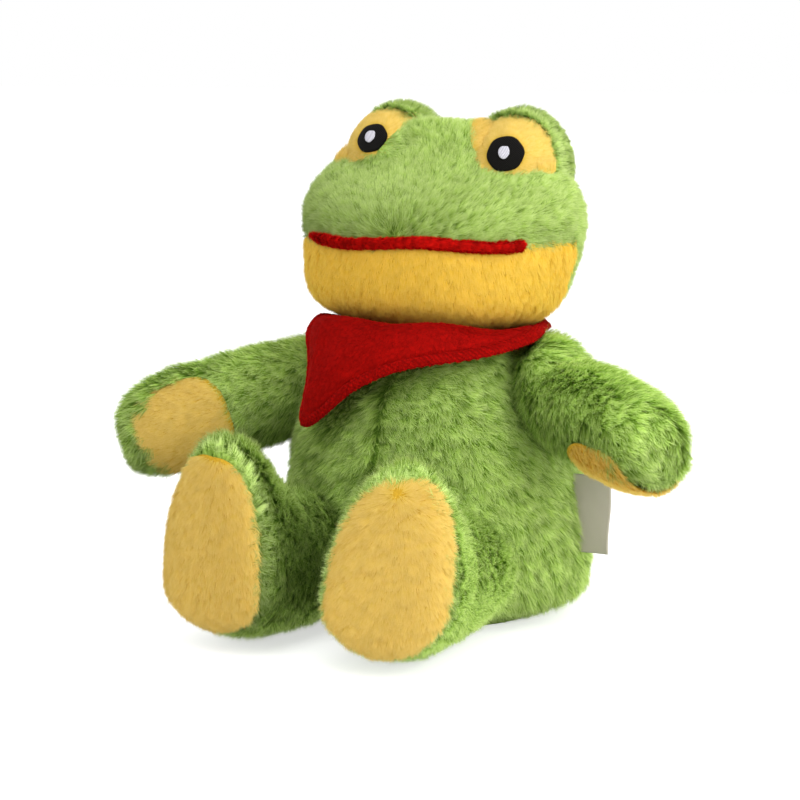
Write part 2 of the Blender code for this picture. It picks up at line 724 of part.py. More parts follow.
def make_neckerchief():
    """Neckerchief: an open cloth surface round the neck, given its thickness."""
    pivot = add_empty("neckerchief_turn", Matrix.Identity(4))
    bm = bmesh.new()
    angles = [row[0] for row in CLOTH_EDGE_SHARES]
    grid = []
    for column in range(CLOTH_COLUMNS):
        spread = column / CLOTH_COLUMNS * (len(angles) - 1)
        low = int(spread)
        degrees = angles[low] + (spread - low) * (angles[low + 1] - angles[low])
        edge = smooth_share(degrees, CLOTH_EDGE_SHARES, 1)
        grid.append([
            bm.verts.new(cloth_point(degrees, edge * row / CLOTH_ROWS))
            for row in range(CLOTH_ROWS + 1)
        ])
    for column in range(CLOTH_COLUMNS):
        here, there = grid[column], grid[(column + 1) % CLOTH_COLUMNS]
        for row in range(CLOTH_ROWS):
            bm.faces.new((here[row], here[row + 1], there[row + 1], there[row]))
    cloth = add_piece("neckerchief", bm, RED, pivot)
    solidify = cloth.modifiers.new("cloth", "SOLIDIFY")
    solidify.thickness = CLOTH_THICKNESS
    solidify.offset = 0.0
    radii = Vector((KNOT_HALF_WIDTH, KNOT_HALF_DEPTH, KNOT_HALF_HEIGHT))
    rim = cloth_point(CLOTH_EDGE_SHARES[0][0], CLOTH_EDGE_SHARES[0][1])
    seat = rim.y + CUP_CLEARANCE + KNOT_HALF_DEPTH
    knot_centre = Vector((0.0, seat, rim.z))
    add_piece(
        "neckerchief_knot", ellipsoid(knot_centre, radii, (KNOT_STEPS, KNOT_STEPS)), RED, pivot
    )


def make_label():
    """Side label: a thin folded ribbon that stands out of the side seam."""
    share = (LABEL_LOW + LABEL_HEIGHT / 2 - TORSO_LOW) / (TORSO_TOP - TORSO_LOW)
    z = 2 * share - 1
    end = math.sqrt(1 - z * z) ** TORSO_BLUNT_SHARE
    seam_x = TORSO_HALF_WIDTH * smooth_share(share, TORSO_ROW_SHARES, 1) * end
    pivot = add_empty("label_seam", Matrix.Translation(Vector((seam_x, 0.0, LABEL_LOW))))
    ribbon = block(
        Vector((-OVERRUN, -LABEL_THICKNESS / 2, 0.0)),
        Vector((LABEL_REACH, LABEL_THICKNESS / 2, LABEL_HEIGHT)),
    )
    label = add_piece("side_label", ribbon, SATIN, pivot)
    for index, degrees in enumerate((LABEL_LIMITS[0], 0.0, LABEL_LIMITS[1])):
        place = turn_about(pivot.location, UP, degrees)
        tool = add_cutter(f"torso_at_label_{index}", torso_form(GAP), place)
        combine(label, tool, "DIFFERENCE")


def main():
    """Build the whole toy."""
    clear_scene()
    make_torso()
    make_seat()
    neck = add_empty("neck_turn", head_tilt() @ Matrix.Translation(NECK_CENTRE))
    make_head(neck)
    make_lip(neck)
    for name, side in (("left", 1), ("right", -1)):
        make_eye(name, side, neck)
        make_arm(name, side)
        make_leg(name, side)
    make_neckerchief()
    make_label()


main()
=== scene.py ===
import json
import math

import bmesh
import bpy
import numpy as np
from mathutils import Matrix, Vector


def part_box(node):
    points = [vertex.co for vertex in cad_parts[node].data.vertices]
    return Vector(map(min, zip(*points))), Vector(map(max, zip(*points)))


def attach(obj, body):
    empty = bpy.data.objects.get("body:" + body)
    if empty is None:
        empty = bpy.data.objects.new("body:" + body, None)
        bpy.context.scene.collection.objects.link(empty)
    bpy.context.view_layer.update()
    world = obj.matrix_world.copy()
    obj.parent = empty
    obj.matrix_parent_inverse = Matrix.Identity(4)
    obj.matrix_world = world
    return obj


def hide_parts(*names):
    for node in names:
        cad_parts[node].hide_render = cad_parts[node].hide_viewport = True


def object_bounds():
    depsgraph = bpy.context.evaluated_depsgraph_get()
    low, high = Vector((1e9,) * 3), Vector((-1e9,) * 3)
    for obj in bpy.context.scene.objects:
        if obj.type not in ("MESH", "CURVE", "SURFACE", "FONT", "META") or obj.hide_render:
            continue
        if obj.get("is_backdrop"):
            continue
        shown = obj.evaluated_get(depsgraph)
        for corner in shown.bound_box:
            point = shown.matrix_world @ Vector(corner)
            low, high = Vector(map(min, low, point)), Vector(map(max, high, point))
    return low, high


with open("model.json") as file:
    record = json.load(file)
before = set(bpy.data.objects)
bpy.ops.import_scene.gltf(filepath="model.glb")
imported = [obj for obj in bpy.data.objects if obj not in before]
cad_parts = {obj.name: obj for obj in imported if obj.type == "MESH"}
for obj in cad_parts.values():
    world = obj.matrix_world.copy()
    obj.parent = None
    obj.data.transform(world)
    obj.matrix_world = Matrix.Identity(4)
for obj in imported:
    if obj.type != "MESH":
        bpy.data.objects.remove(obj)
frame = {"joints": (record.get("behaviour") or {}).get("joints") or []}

cad_low, cad_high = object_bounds()

# Studio: a white table and a white surround, one large soft lamp high on the camera's right, a
# weaker one on its left and a broad one overhead, as for a catalogue picture of a soft toy.
# The camera stands to the toy's left, a little above it, with a long lens.
PHOTO_SIDE = 800
VIEW_AZIMUTH = math.radians(26.5)
VIEW_ELEVATION = math.radians(8.5)
VIEW_DISTANCE = 1.3
PIXEL_SIZE = 0.00054
ORIGIN_PIXEL = (437, 606)
SENSOR_WIDTH = 36.0
FLOOR_SIDE = 24.0
FLOOR_SHADE = 0.70
FLOOR_GLOW = 0.60
SKY_LEVEL = 0.92
LAMPS = (
    # name, azimuth from the front, elevation, distance, side, watts
    ("key_lamp", 78.0, 16.0, 1.6, 1.3, 23.0),
    ("fill_lamp", 0.0, 30.0, 1.8, 1.5, 7.5),
    ("top_lamp", 50.0, 66.0, 1.6, 1.4, 14.0),
)


def add_node(tree, kind, inputs=None, **settings):
    """Add a node, set its fields, and fill its sockets with values or links."""
    node = tree.nodes.new(kind)
    for field, value in settings.items():
        setattr(node, field, value)
    for socket, value in (inputs or {}).items():
        if isinstance(value, bpy.types.NodeSocket):
            tree.links.new(value, node.inputs[socket])
        else:
            node.inputs[socket].default_value = value
    return node


def add_object(name, data):
    """Put a new object into the scene."""
    thing = bpy.data.objects.new(name, data)
    bpy.context.scene.collection.objects.link(thing)
    return thing


def seen_directly(tree):
    """A socket that is 1 for rays of the camera, a gloss or clear glass, and 0 for light."""
    ray = add_node(tree, "ShaderNodeLightPath")
    seen = ray.outputs["Is Camera Ray"]
    for kind in ("Is Glossy Ray", "Is Transmission Ray"):
        more = add_node(tree, "ShaderNodeMath", {0: seen, 1: ray.outputs[kind]}, operation="MAXIMUM")
        seen = more.outputs[0]
    return seen


right = Vector((math.cos(VIEW_AZIMUTH), math.sin(VIEW_AZIMUTH), 0.0))
level = math.cos(VIEW_ELEVATION)
back = Vector((right.y * level, -right.x * level, math.sin(VIEW_ELEVATION)))
up = back.cross(right)
middle = PHOTO_SIDE / 2
aim = right * (middle - ORIGIN_PIXEL[0]) * PIXEL_SIZE + up * (ORIGIN_PIXEL[1] - middle) * PIXEL_SIZE
camera = add_object("camera", bpy.data.cameras.new("camera"))
camera.matrix_world = Matrix.Translation(aim + back * VIEW_DISTANCE) @ Matrix(
    (right, up, back)
).transposed().to_4x4()
camera.data.sensor_width = SENSOR_WIDTH
camera.data.lens = SENSOR_WIDTH * VIEW_DISTANCE / (PIXEL_SIZE * PHOTO_SIDE)
bpy.context.scene.camera = camera
bpy.context.scene.view_settings.view_transform = "Standard"

toy_middle = (cad_low + cad_high) / 2
for name, azimuth, elevation, distance, side, watts in LAMPS:
    lamp = add_object(name, bpy.data.lights.new(name, "AREA"))
    lamp.data.size = side
    lamp.data.energy = watts
    turn, lift = math.radians(azimuth), math.radians(elevation)
    away = Vector((
        math.sin(turn) * math.cos(lift), -math.cos(turn) * math.cos(lift), math.sin(lift)
    ))
    lamp.location = toy_middle + away * distance
    lamp.rotation_euler = away.to_track_quat("Z", "Y").to_euler()

world = bpy.data.worlds.new("white_surround")
bpy.context.scene.world = world
world.use_nodes = True
sky = world.node_tree
sky.nodes.clear()
strength = add_node(
    sky, "ShaderNodeMapRange", {"Value": seen_directly(sky), "To Min": SKY_LEVEL, "To Max": 1.0}
)
glow = add_node(
    sky, "ShaderNodeBackground", {"Color": (1, 1, 1, 1), "Strength": strength.outputs["Result"]}
)
add_node(sky, "ShaderNodeOutputWorld", {"Surface": glow.outputs[0]})

table = bpy.data.materials.new("white_card")
table.use_nodes = True
card = table.node_tree
card.nodes.clear()
top_up = add_node(
    card, "ShaderNodeMath", {0: seen_directly(card), 1: FLOOR_GLOW}, operation="MULTIPLY"
)
shade = add_node(card, "ShaderNodeBsdfDiffuse", {"Color": (FLOOR_SHADE, FLOOR_SHADE, FLOOR_SHADE, 1)})
shine = add_node(card, "ShaderNodeEmission", {"Strength": top_up.outputs[0]})
both = add_node(card, "ShaderNodeAddShader", {0: shade.outputs[0], 1: shine.outputs[0]})
add_node(card, "ShaderNodeOutputMaterial", {"Surface": both.outputs[0]})
floor = add_object("floor", bpy.data.meshes.new("floor"))
reach = FLOOR_SIDE / 2
floor.data.from_pydata(
    [(-reach, -reach, 0), (reach, -reach, 0), (reach, reach, 0), (-reach, reach, 0)],
    [],
    [(0, 1, 2, 3)],
)
floor.data.materials.append(table)
floor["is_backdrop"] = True

# Torso: a pear-shaped bag of green acrylic pile fabric stuffed with polyester fibre. The knitted
# backing is a turned surface, and the pile is cut strands of about 10 mm that lie down the body,
# parted along the belly seam and pressed flat where the neckerchief lies on them.
TORSO = {
    "low": -0.012, "length": 0.171, "halves": (0.0830, 0.0750, 0.0720), "blunt": 0.5,
    "rows": (
        # height, side, belly, back
        (0.0, 0.90, 0.90, 0.90),
        (0.12, 1.15, 1.06, 1.10),
        (0.24, 1.10, 1.08, 1.08),
        (0.38, 1.015, 1.06, 1.00),
        (0.52, 0.96, 1.03, 0.98),
        (0.64, 0.95, 0.99, 0.99),
        (0.76, 0.90, 0.95, 0.99),
        (0.86, 0.83, 0.87, 0.92),
        (0.93, 0.74, 0.77, 0.82),
        (1.0, 0.60, 0.64, 0.70),
    ),
}
SEAT_TOP, SEAT_MARGIN = 0.0028, 0.0008
TORSO_COLUMNS, TORSO_RINGS = 120, 84
SHOULDER_SWELL = 0.0085
SHOULDER_X, SHOULDER_X_SPREAD = 0.055, 0.45 * 0.055
SHOULDER_HEIGHT, SHOULDER_HEIGHT_SPREAD = 0.144, 0.012
# The lower edge is drawn in towards the seat seam, from one height down to another.
TUCK, TUCK_STARTS, TUCK_ENDS = 0.0035, 0.018, 0.004
NECK_BARE_ABOVE = 0.1515
BELLY_SEAM_X = -0.002
SEAM_HALF_WIDTH = 0.0016
PARTING_REACH, PARTING_PULL = 0.022, 1.1
LEFT_LEAN = 0.25
CLOTH_PRESS_DEPTH = 0.006
GREEN_PILE_LENGTH = 0.0105
GREEN_PILE_WIDTH = 0.00050
GREEN_PILE_DEPTH = 0.0045
GREEN_PER_SQUARE_METRE = 5.0e6
# Pile is cut shorter, as a share: under the cloth, along the seam and at the tuck.
PRESSED_CUT, SEAM_CUT, TUCK_CUT = 0.7, 0.35, 0.35
# Shade of the pile by place: more is paler, on the scale of a strand's map from 0 to 1. Besides the
# torso's own tone, these are painted light and shade.
# Painted shade over the belly, more at the lower belly and in the seam's parting, and a painted
# shadow where the cloth lies.
TORSO_SHADE, BELLY_PAINTED_SHADE, SEAM_PAINTED_SHADE, CLOTH_PAINTED_SHADOW = 0.12, -0.10, -0.30, -0.20
LOW_BELLY_PAINTED_SHADE, LOW_BELLY_TOP = -0.08, 0.075
# Painted light on the toy's left side, which faces the key lamp.
LEFT_PAINTED_LIGHT, LEFT_PAINTED_LIGHT_STARTS, LEFT_PAINTED_LIGHT_ENDS = 0.18, 0.005, 0.055
# Places nearer than this are one place, and a profile is walked in so many steps.
SAME_PLACE, EVEN_STEPS = 1e-6, 4001
# Strands: tufts of this size share a lean, patches of the next lean over more softly, and small
# wisps between tufts are drawn together. A lean or length changes by these shares.
TUFT_SIZE = 0.0027
PATCH_SIZE = 0.022
# Wisps keep the root colour far up the strand and are darkened more: painted shade where the pile
# opens.
WISP_SHARE, WISP_DEPTH, WISP_PAINTED_SHADE = 0.42, 0.76, -0.1
PARTED = 0.23
LEAN_BY_TUFT, LEAN_BY_PATCH, MOST_LEAN = 0.6, 0.5, 0.8
LENGTH_BY_TUFT, LENGTH_BY_PATCH, LENGTH_RANGE = 0.16, 0.10, (0.75, 1.15)
LIFT_BY_TUFT, LIFT_SPREAD, LEAST_LIFT, TIP_LIFT = 0.12, 0.07, 0.05, 0.4
ROLL_SPREAD = 0.35
WIDTH_RANGE = (0.7, 1.25)
TIP_PULL = 0.7
TABLE_CLEARANCE = 0.0003
TONE_RANGE = (0.02, 0.98)
TIP_V = 0.95
STRAND_U_HALF_WIDTH = 0.006
RELIEF_BY_TUFT, RELIEF_BY_PATCH, RELIEF_BY_STRAND = 0.6, 0.4, 0.3
FIBRE_ROUGHNESS, KNIT_ROUGHNESS, DULL_SPECULAR = 0.85, 0.95, 0.06
KNIT_GAP_PAINTED_SHADE = 0.6
# Strand colours from root to tip: the dark root colours are painted shade where the strands crowd.
GREEN_HEXES = ("3A5E0A", "708E34", "9AB458", "C0D08C")
GREEN_STOPS = (0.0, 0.28, 0.66, 1.0)
GREEN_BACKING_HEX = "6C8A34"


def linear(code):
    """An sRGB hex code as linear red, green, blue and alpha."""
    parts = [int(code[i:i + 2], 16) / 255 for i in (0, 2, 4)]
    return (*(p / 12.92 if p <= 0.04045 else ((p + 0.055) / 1.055) ** 2.4 for p in parts), 1.0)


def unit(vectors):
    """Vectors made one long."""
    return vectors / np.maximum(np.linalg.norm(vectors, axis=-1, keepdims=True), 1e-12)


def across_normal(vectors, normals):
    """What is left of vectors when their part along the normals is taken away."""
    return vectors - normals * np.sum(vectors * normals, axis=1, keepdims=True)


def ramp(values, start, end):
    """0 up to the start and 1 past the end, straight between; the end may be the lower one."""
    return np.clip((values - start) / (end - start), 0, 1)


def hump(values, middle, spread):
    """A bell of height 1 at the middle, down to about a third at the spread."""
    return np.exp(-((values - middle) / spread) ** 2)


def read_rows(share, rows, column):
    """A column of a table at any share: a cubic through its rows, sloped as their neighbours are."""
    table = np.array(rows)
    x, y = table[:, 0], table[:, column]
    last = len(x) - 1
    i = np.clip(np.searchsorted(x, share, "right") - 1, 0, last - 1)
    before, after = np.maximum(i - 1, 0), np.minimum(i + 2, last)
    span = x[i + 1] - x[i]
    t = (share - x[i]) / span
    leave = span * (y[i + 1] - y[before]) / (x[i + 1] - x[before])
    arrive = span * (y[after] - y[i]) / (x[after] - x[i])
    rise = y[i + 1] - y[i]
    return y[i] + rise * t + t * (1 - t) * ((1 - t) * (leave - rise) - t * (arrive - rise))


def even_rises(form, count):
    """Angles of rise, pole to pole, whose rings lie at even steps along the form's profile."""
    step = np.linspace(-1, 1, EVEN_STEPS)
    rise = np.sign(step) * (1 - (1 - abs(step)) ** 4) * np.pi / 2
    across = np.cos(rise) ** form["blunt"] * form["halves"][0]
    along = np.sin(rise) * form["length"] / 2
    steps = np.hypot(np.diff(across), np.diff(along))
    travelled = np.concatenate(([0], np.cumsum(steps)))
    return np.interp(np.linspace(0, travelled[-1], count), travelled, rise)


def form_points(form, around, rise):
    """A stuffed form: the unit sphere carried onto the table of side, front and back depths.

    Each section is an ellipse, and cos(rise) to the power blunt closes both ends roundly."""
    around, rise = np.broadcast_arrays(around, rise)
    share = (1 + np.sin(rise)) / 2
    end = np.maximum(np.cos(rise), 0) ** form["blunt"]
    side, front, rear = (
        half * read_rows(share, form["rows"], column) * end
        for column, half in enumerate(form["halves"], 1)
    )
    depth = np.where(np.sin(around) < 0, front, rear)
    return np.stack([
        np.cos(around) * side, np.sin(around) * depth, form["low"] + share * form["length"]
    ], axis=-1)


def grid_normals(points):
    """Outward normals of a grid, from its two tangents; a pole takes its ring's mean."""
    tangent = np.cross(np.gradient(points, axis=1), np.gradient(points, axis=0))
    normals = unit(tangent)
    for pole, ring in ((0, 1), (-1, -2)):
        if np.ptp(points[pole], axis=0).max() < SAME_PLACE:
            normals[pole] = unit(normals[ring].mean(axis=0))
    seam = unit(normals[:, :1] + normals[:, -1:])
    if np.abs(points[:, 0] - points[:, -1]).max() < SAME_PLACE:
        normals[:, :1] = normals[:, -1:] = seam
    centre = points.reshape(-1, 3).mean(axis=0)
    outward = np.sum(normals * (points - centre))
    return normals if outward > 0 else -normals


def inside(points, form, margin=0.0):
    """Whether points in the form's own frame lie inside it, with a margin outwards."""
    share = (points[:, 2] - form["low"] + margin) / (form["length"] + 2 * margin)
    within = np.clip(share, 0, 1)
    end = (4 * within * (1 - within)) ** (form["blunt"] / 2)
    side, front, rear = (
        half * read_rows(within, form["rows"], column) * end + margin
        for column, half in enumerate(form["halves"], 1)
    )
    depth = np.where(points[:, 1] < 0, front, rear)
    oval = (points[:, 0] / side) ** 2 + (points[:, 1] / depth) ** 2
    return (oval < 1) & (share > 0) & (share < 1)


def placed(points, matrix):
    """Points carried by a matrix."""
    m = np.array(matrix)
    return points @ m[:3, :3].T + m[:3, 3]


def turned(vectors, matrix):
    """Directions carried by a matrix."""
    return vectors @ np.array(matrix)[:3, :3].T


def wander(points, size, seed):
    """Smooth random vectors: random values on a cubic lattice, blended between its corners."""
    cells = points / size
    low = np.floor(cells).astype(int)
    t = cells - low
    t = t * t * (3 - 2 * t)
    low = low - low.min(axis=0)
    lattice = np.random.default_rng(seed).uniform(-1, 1, (*(low.max(axis=0) + 2), 3))
    total = np.zeros_like(points)
    for corner in np.ndindex(2, 2, 2):
        weight = np.prod(np.where(corner, t, 1 - t), axis=1)
        at = low + corner
        total += weight[:, None] * lattice[at[:, 0], at[:, 1], at[:, 2]]
    return total


def add_surface(name, points, material, thickness=0.0):
    """A closed or open grid of points as a smooth mesh, with its doubles merged."""
    rows, columns = points.shape[:2]
    index = np.arange(rows * columns).reshape(rows, columns)
    quads = np.stack([index[:-1, :-1], index[:-1, 1:], index[1:, 1:], index[1:, :-1]], axis=-1)
    mesh = bpy.data.meshes.new(name)
    mesh.from_pydata(points.reshape(-1, 3).tolist(), [], quads.reshape(-1, 4).tolist())
    merge = bmesh.new()
    merge.from_mesh(mesh)
    bmesh.ops.remove_doubles(merge, verts=merge.verts, dist=SAME_PLACE)
    bmesh.ops.recalc_face_normals(merge, faces=merge.faces)
    merge.to_mesh(mesh)
    merge.free()
    mesh.shade_smooth()
    mesh.materials.append(material)
    piece = add_object(name, mesh)
    if thickness:
        wall = piece.modifiers.new("cloth", "SOLIDIFY")
        wall.thickness = thickness
        wall.offset = 0.0
    return piece


def tuft_of(points, size, seed):
    """The tuft each place belongs to: the nearest of one random spot in each cubic cell.

    It gives that spot, and three random values that the whole tuft shares."""
    cell = np.floor(points / size).astype(int)
    base = cell.min(axis=0) - 1
    draw = np.random.default_rng(seed)
    spots = draw.uniform(size=(*(cell.max(axis=0) - base + 2), 3))
    values = draw.uniform(-1, 1, spots.shape)
    nearest = np.full(len(points), np.inf)
    centre, own = np.zeros_like(points), np.zeros_like(points)
    for step in np.ndindex(3, 3, 3):
        at = cell - base + np.array(step) - 1
        spot = (at + base + spots[at[:, 0], at[:, 1], at[:, 2]]) * size
        distance = np.sum((spot - points) ** 2, axis=1)
        nearer = distance < nearest
        nearest[nearer] = distance[nearer]
        centre[nearer] = spot[nearer]
        own[nearer] = values[at[nearer, 0], at[nearer, 1], at[nearer, 2]]
    return centre, own


def scatter(points, per_square_metre, seed, *fields):
    """Places spread evenly over a grid: quads drawn by their area, then a place in each quad.

    It gives the places, their normals, and any other field of the grid at those places."""
    normals = grid_normals(points)
    a, b, c, d = points[:-1, :-1], points[:-1, 1:], points[1:, 1:], points[1:, :-1]
    area = np.linalg.norm(np.cross(c - a, d - b), axis=-1).ravel() / 2
    total = np.cumsum(area)
    draw = np.random.default_rng(seed)
    count = int(total[-1] * per_square_metre)
    pick = np.searchsorted(total, draw.uniform(0, total[-1], count))
    row, column = np.divmod(pick, points.shape[1] - 1)
    s, t = draw.uniform(size=(2, count, 1))
    found = []
    for grid in (points, normals, *fields):
        low = grid[row, column] * (1 - s) + grid[row, column + 1] * s
        high = grid[row + 1, column] * (1 - s) + grid[row + 1, column + 1] * s
        found.append(low * (1 - t) + high * t)
    found[1] = unit(found[1])
    return found


def add_pile(
    name, roots, normals, lay, look, length, width, lift, seed,
    place=None, clump=1.1, ragged=0.22, tuft=TUFT_SIZE, shade=0.0, relief=0.45, vary=0.24,
    bare=0.05, parted=0.0,
):
    """Cut pile: one long thin triangle for each root, ending in a point.

    A strand leaves the backing at lift and leans along the lay. The points of a tuft lean
    together, and its strands share their length and their tone, which varies by vary; shade,
    mostly painted light and shade, is added to that tone. A strand is shaded as the fabric under it
    is, tilted by relief as its tuft leans. Its map starts at bare, from 0 where the root's painted
    shade shows to 1 where only the tip does. The share named parted are wisps at the edges of tufts,
    drawn together and given painted shade to the tip, where the pile opens.
    Roots, normals and lay are in the frame of place, or the toy's own where there is none."""
    if place is not None:
        roots, normals, lay = placed(roots, place), turned(normals, place), turned(lay, place)
    count = len(roots)
    draw = np.random.default_rng(seed)
    centre, own = tuft_of(roots, tuft, seed + 1)
    patches = wander(roots, PATCH_SIZE, seed + 2)
    flow = unit(across_normal(lay, normals))
    flow = flow + min(clump, MOST_LEAN) * (LEAN_BY_TUFT * own + LEAN_BY_PATCH * patches)
    flow = unit(across_normal(flow + draw.normal(0, ragged, (count, 3)), normals))
    long = length * (1 + LENGTH_BY_TUFT * own[:, :1] + LENGTH_BY_PATCH * patches[:, 1:2])
    long = long * draw.uniform(*LENGTH_RANGE, (count, 1))
    rise = lift + LIFT_BY_TUFT * own[:, 1:2] + draw.normal(0, LIFT_SPREAD, (count, 1))
    rise = np.clip(rise, LEAST_LIFT, 1.0)
    first = unit(normals * rise + flow * (1 - rise))
    second = unit(normals * rise * TIP_LIFT + flow)
    deep = np.zeros(count)
    if parted:
        wisp_centre, wisp = tuft_of(roots, tuft * WISP_SHARE, seed + 3)
        deep = (wisp[:, 0] < 2 * parted - 1) * 1.0
        centre = np.where(deep[:, None] > 0, wisp_centre, centre)
    pull = clump * across_normal(centre - roots, normals)
    side = unit(np.cross(first, normals))
    roll = draw.normal(0, ROLL_SPREAD, (count, 1))
    side = unit(side * np.cos(roll) + np.cross(first, side) * np.sin(roll))
    side = side * width * draw.uniform(*WIDTH_RANGE, (count, 1)) / 2
    tip = roots + (first + second) * long / 2 + pull * TIP_PULL
    corners = np.stack([roots - side, roots + side, tip], axis=1)
    corners[..., 2] = np.maximum(corners[..., 2], TABLE_CLEARANCE)
    mesh = bpy.data.meshes.new(name)
    mesh.vertices.add(count * 3)
    mesh.vertices.foreach_set("co", corners.astype(np.float32).ravel())
    mesh.loops.add(count * 3)
    mesh.polygons.add(count)
    mesh.loops.foreach_set("vertex_index", np.arange(count * 3))
    mesh.polygons.foreach_set("loop_start", np.arange(0, count * 3, 3))
    mesh.update(calc_edges=True)
    tone = 0.5 + vary * own[:, 2] + vary / 3 * patches[:, 2] + draw.normal(0, vary / 3, count)
    # shade is mostly painted light and shade; wisps get painted shade.
    tone = tone + shade + WISP_PAINTED_SHADE * deep
    across = STRAND_U_HALF_WIDTH * np.array([-1.0, 1.0, 0.0])
    tone = np.clip(tone, *TONE_RANGE)[:, None] + across
    root = np.broadcast_to(np.reshape(bare, (-1, 1)), (count, 1))
    along = np.concatenate([root, root, TIP_V - WISP_DEPTH * deep[:, None]], axis=1)
    uv = np.stack([tone, along], axis=-1)
    mesh.uv_layers.new(name="OFBake").data.foreach_set("uv", uv.astype(np.float32).ravel())
    mesh.shade_smooth()
    facing = RELIEF_BY_TUFT * own + RELIEF_BY_PATCH * patches + RELIEF_BY_STRAND * first
    facing = np.repeat(unit(normals + relief * facing), 3, axis=0)
    mesh.normals_split_custom_set_from_vertices(facing)
    mesh.materials.append(look)
    return add_object(name, mesh)


def new_look(name, roughness, specular):
    """A fresh material, its node tree and its main shader, with the surface's two plain values."""
    look = bpy.data.materials.new(name)
    look.use_nodes = True
    shader = look.node_tree.nodes["Principled BSDF"]
    shader.inputs["Roughness"].default_value = roughness
    shader.inputs["Specular IOR Level"].default_value = specular
    return look, look.node_tree, shader


def pile_look(name, codes, stops, dim=0.55, bright=1.36):
    """Dyed acrylic pile, pale at the brushed tips, with painted shade that darkens it towards the
    root where strands crowd.

    The strand's own map gives root to tip along V and its tone among the others along U; that tone
    carries the painted light and shade that the pieces are given. A fibre is thin enough to look
    alike from both sides, so its back shows the light of its front."""
    look, tree, shader = new_look(name, FIBRE_ROUGHNESS, DULL_SPECULAR)
    place = add_node(tree, "ShaderNodeUVMap", uv_map="OFBake")
    parts = add_node(tree, "ShaderNodeSeparateXYZ", {0: place.outputs[0]})
    depth = add_node(tree, "ShaderNodeValToRGB", {0: parts.outputs["Y"]})
    elements = depth.color_ramp.elements
    for _ in codes[2:]:
        elements.new(0.5)
    for element, stop, code in zip(elements, stops, codes):
        element.position, element.color = stop, linear(code)
    tone = add_node(
        tree, "ShaderNodeMapRange", {"Value": parts.outputs["X"], "To Min": dim, "To Max": bright}
    )
    dye_and_painted_shade = add_node(
        tree, "ShaderNodeVectorMath", {0: depth.outputs[0], 1: tone.outputs[0]}, operation="MULTIPLY"
    )
    tree.links.new(dye_and_painted_shade.outputs[0], shader.inputs["Base Color"])
    face = add_node(tree, "ShaderNodeNewGeometry")
    thin = add_node(tree, "ShaderNodeBsdfTranslucent", {"Color": dye_and_painted_shade.outputs[0]})
    either = add_node(
        tree, "ShaderNodeMixShader",
        {0: face.outputs["Backfacing"], 1: shader.outputs[0], 2: thin.outputs[0]},
    )
    tree.links.new(either.outputs[0], tree.nodes["Material Output"].inputs["Surface"])
    return look


def weave(tree, shader, threads, dark, light, relief):
    """Colour and relief of a fabric from one pattern of threads, with painted shade dark in its gaps.
    """
    colours = add_node(tree, "ShaderNodeValToRGB", {0: threads.outputs["Fac"]})
    colours.color_ramp.elements[0].color = dark
    colours.color_ramp.elements[1].color = light
    tree.links.new(colours.outputs[0], shader.inputs["Base Color"])
    bump = add_node(tree, "ShaderNodeBump", {"Height": threads.outputs["Fac"], "Distance": relief})
    tree.links.new(bump.outputs[0], shader.inputs["Normal"])


def dimmed(colour, share):
    """A linear colour brought down to a share of itself."""
    return (*(share * part for part in colour[:3]), 1.0)


def backing_look(name, code, mesh_size=0.0012):
    """Knitted polyester backing, seen only between strands: rows of loops about 1.2 mm apart."""
    look, tree, shader = new_look(name, KNIT_ROUGHNESS, DULL_SPECULAR)
    where = add_node(tree, "ShaderNodeTexCoord")
    knit = add_node(
        tree, "ShaderNodeTexNoise",
        {"Vector": where.outputs["Object"], "Scale": 1 / mesh_size, "Detail": 2.0},
    )
    # The knit's gaps are dimmed: painted shade.
    dark = dimmed(linear(code), KNIT_GAP_PAINTED_SHADE)
    weave(tree, shader, knit, dark, linear(code), mesh_size / 2)
    return look


def form_grid(form, columns, rings):
    """The whole of a stuffed form as a grid that closes round and at both poles."""
    around = np.linspace(0, 2 * np.pi, columns + 1)[None, :]
    return form_points(form, around, even_rises(form, rings)[:, None])


green_backing = backing_look("knitted_polyester_green", GREEN_BACKING_HEX)
green_pile = pile_look("brushed_acrylic_pile_green", GREEN_HEXES, GREEN_STOPS)

CLOTH_EDGE = (
    # angle from the front in degrees, and the share of the profile that the cloth covers
    (-180.0, 0.24), (-110.0, 0.30), (-75.0, 0.38), (-60.0, 0.48), (-50.0, 0.66), (-42.0, 0.82),
    (-38.0, 0.92), (-33.0, 0.985), (-27.0, 1.00), (-18.0, 0.94), (-4.0, 0.82), (14.0, 0.73),
    (45.0, 0.67), (66.0, 0.59), (88.0, 0.43), (110.0, 0.34), (180.0, 0.24),
)
CLOTH_REACH, CLOTH_TOP, CLOTH_DROP = 0.0825, 0.1560, 0.0500
CLOTH_ROWS = (
    # share of the profile, share of the reach, share of the drop
    (0.0, 0.533, 0.094),
    (1 / 6, 0.642, 0.056),
    (2 / 6, 0.752, 0.0),
    (3 / 6, 0.852, 0.024),
    (4 / 6, 0.918, 0.210),
    (5 / 6, 0.964, 0.570),
    (1.0, 1.0, 1.0),
)


def under_cloth(points):
    """How deep points lie under the neckerchief, in metres of height; negative when clear."""
    angle = np.degrees(np.arctan2(points[:, 0], -points[:, 1]))
    cover = read_rows(angle, CLOTH_EDGE, 1)
    return points[:, 2] - CLOTH_TOP + CLOTH_DROP * read_rows(cover, CLOTH_ROWS, 2)


def under_press(points):
    """How hard the neckerchief presses the pile at places: 0 well below it, 1 under it."""
    return ramp(under_cloth(points), -CLOTH_PRESS_DEPTH, 0)


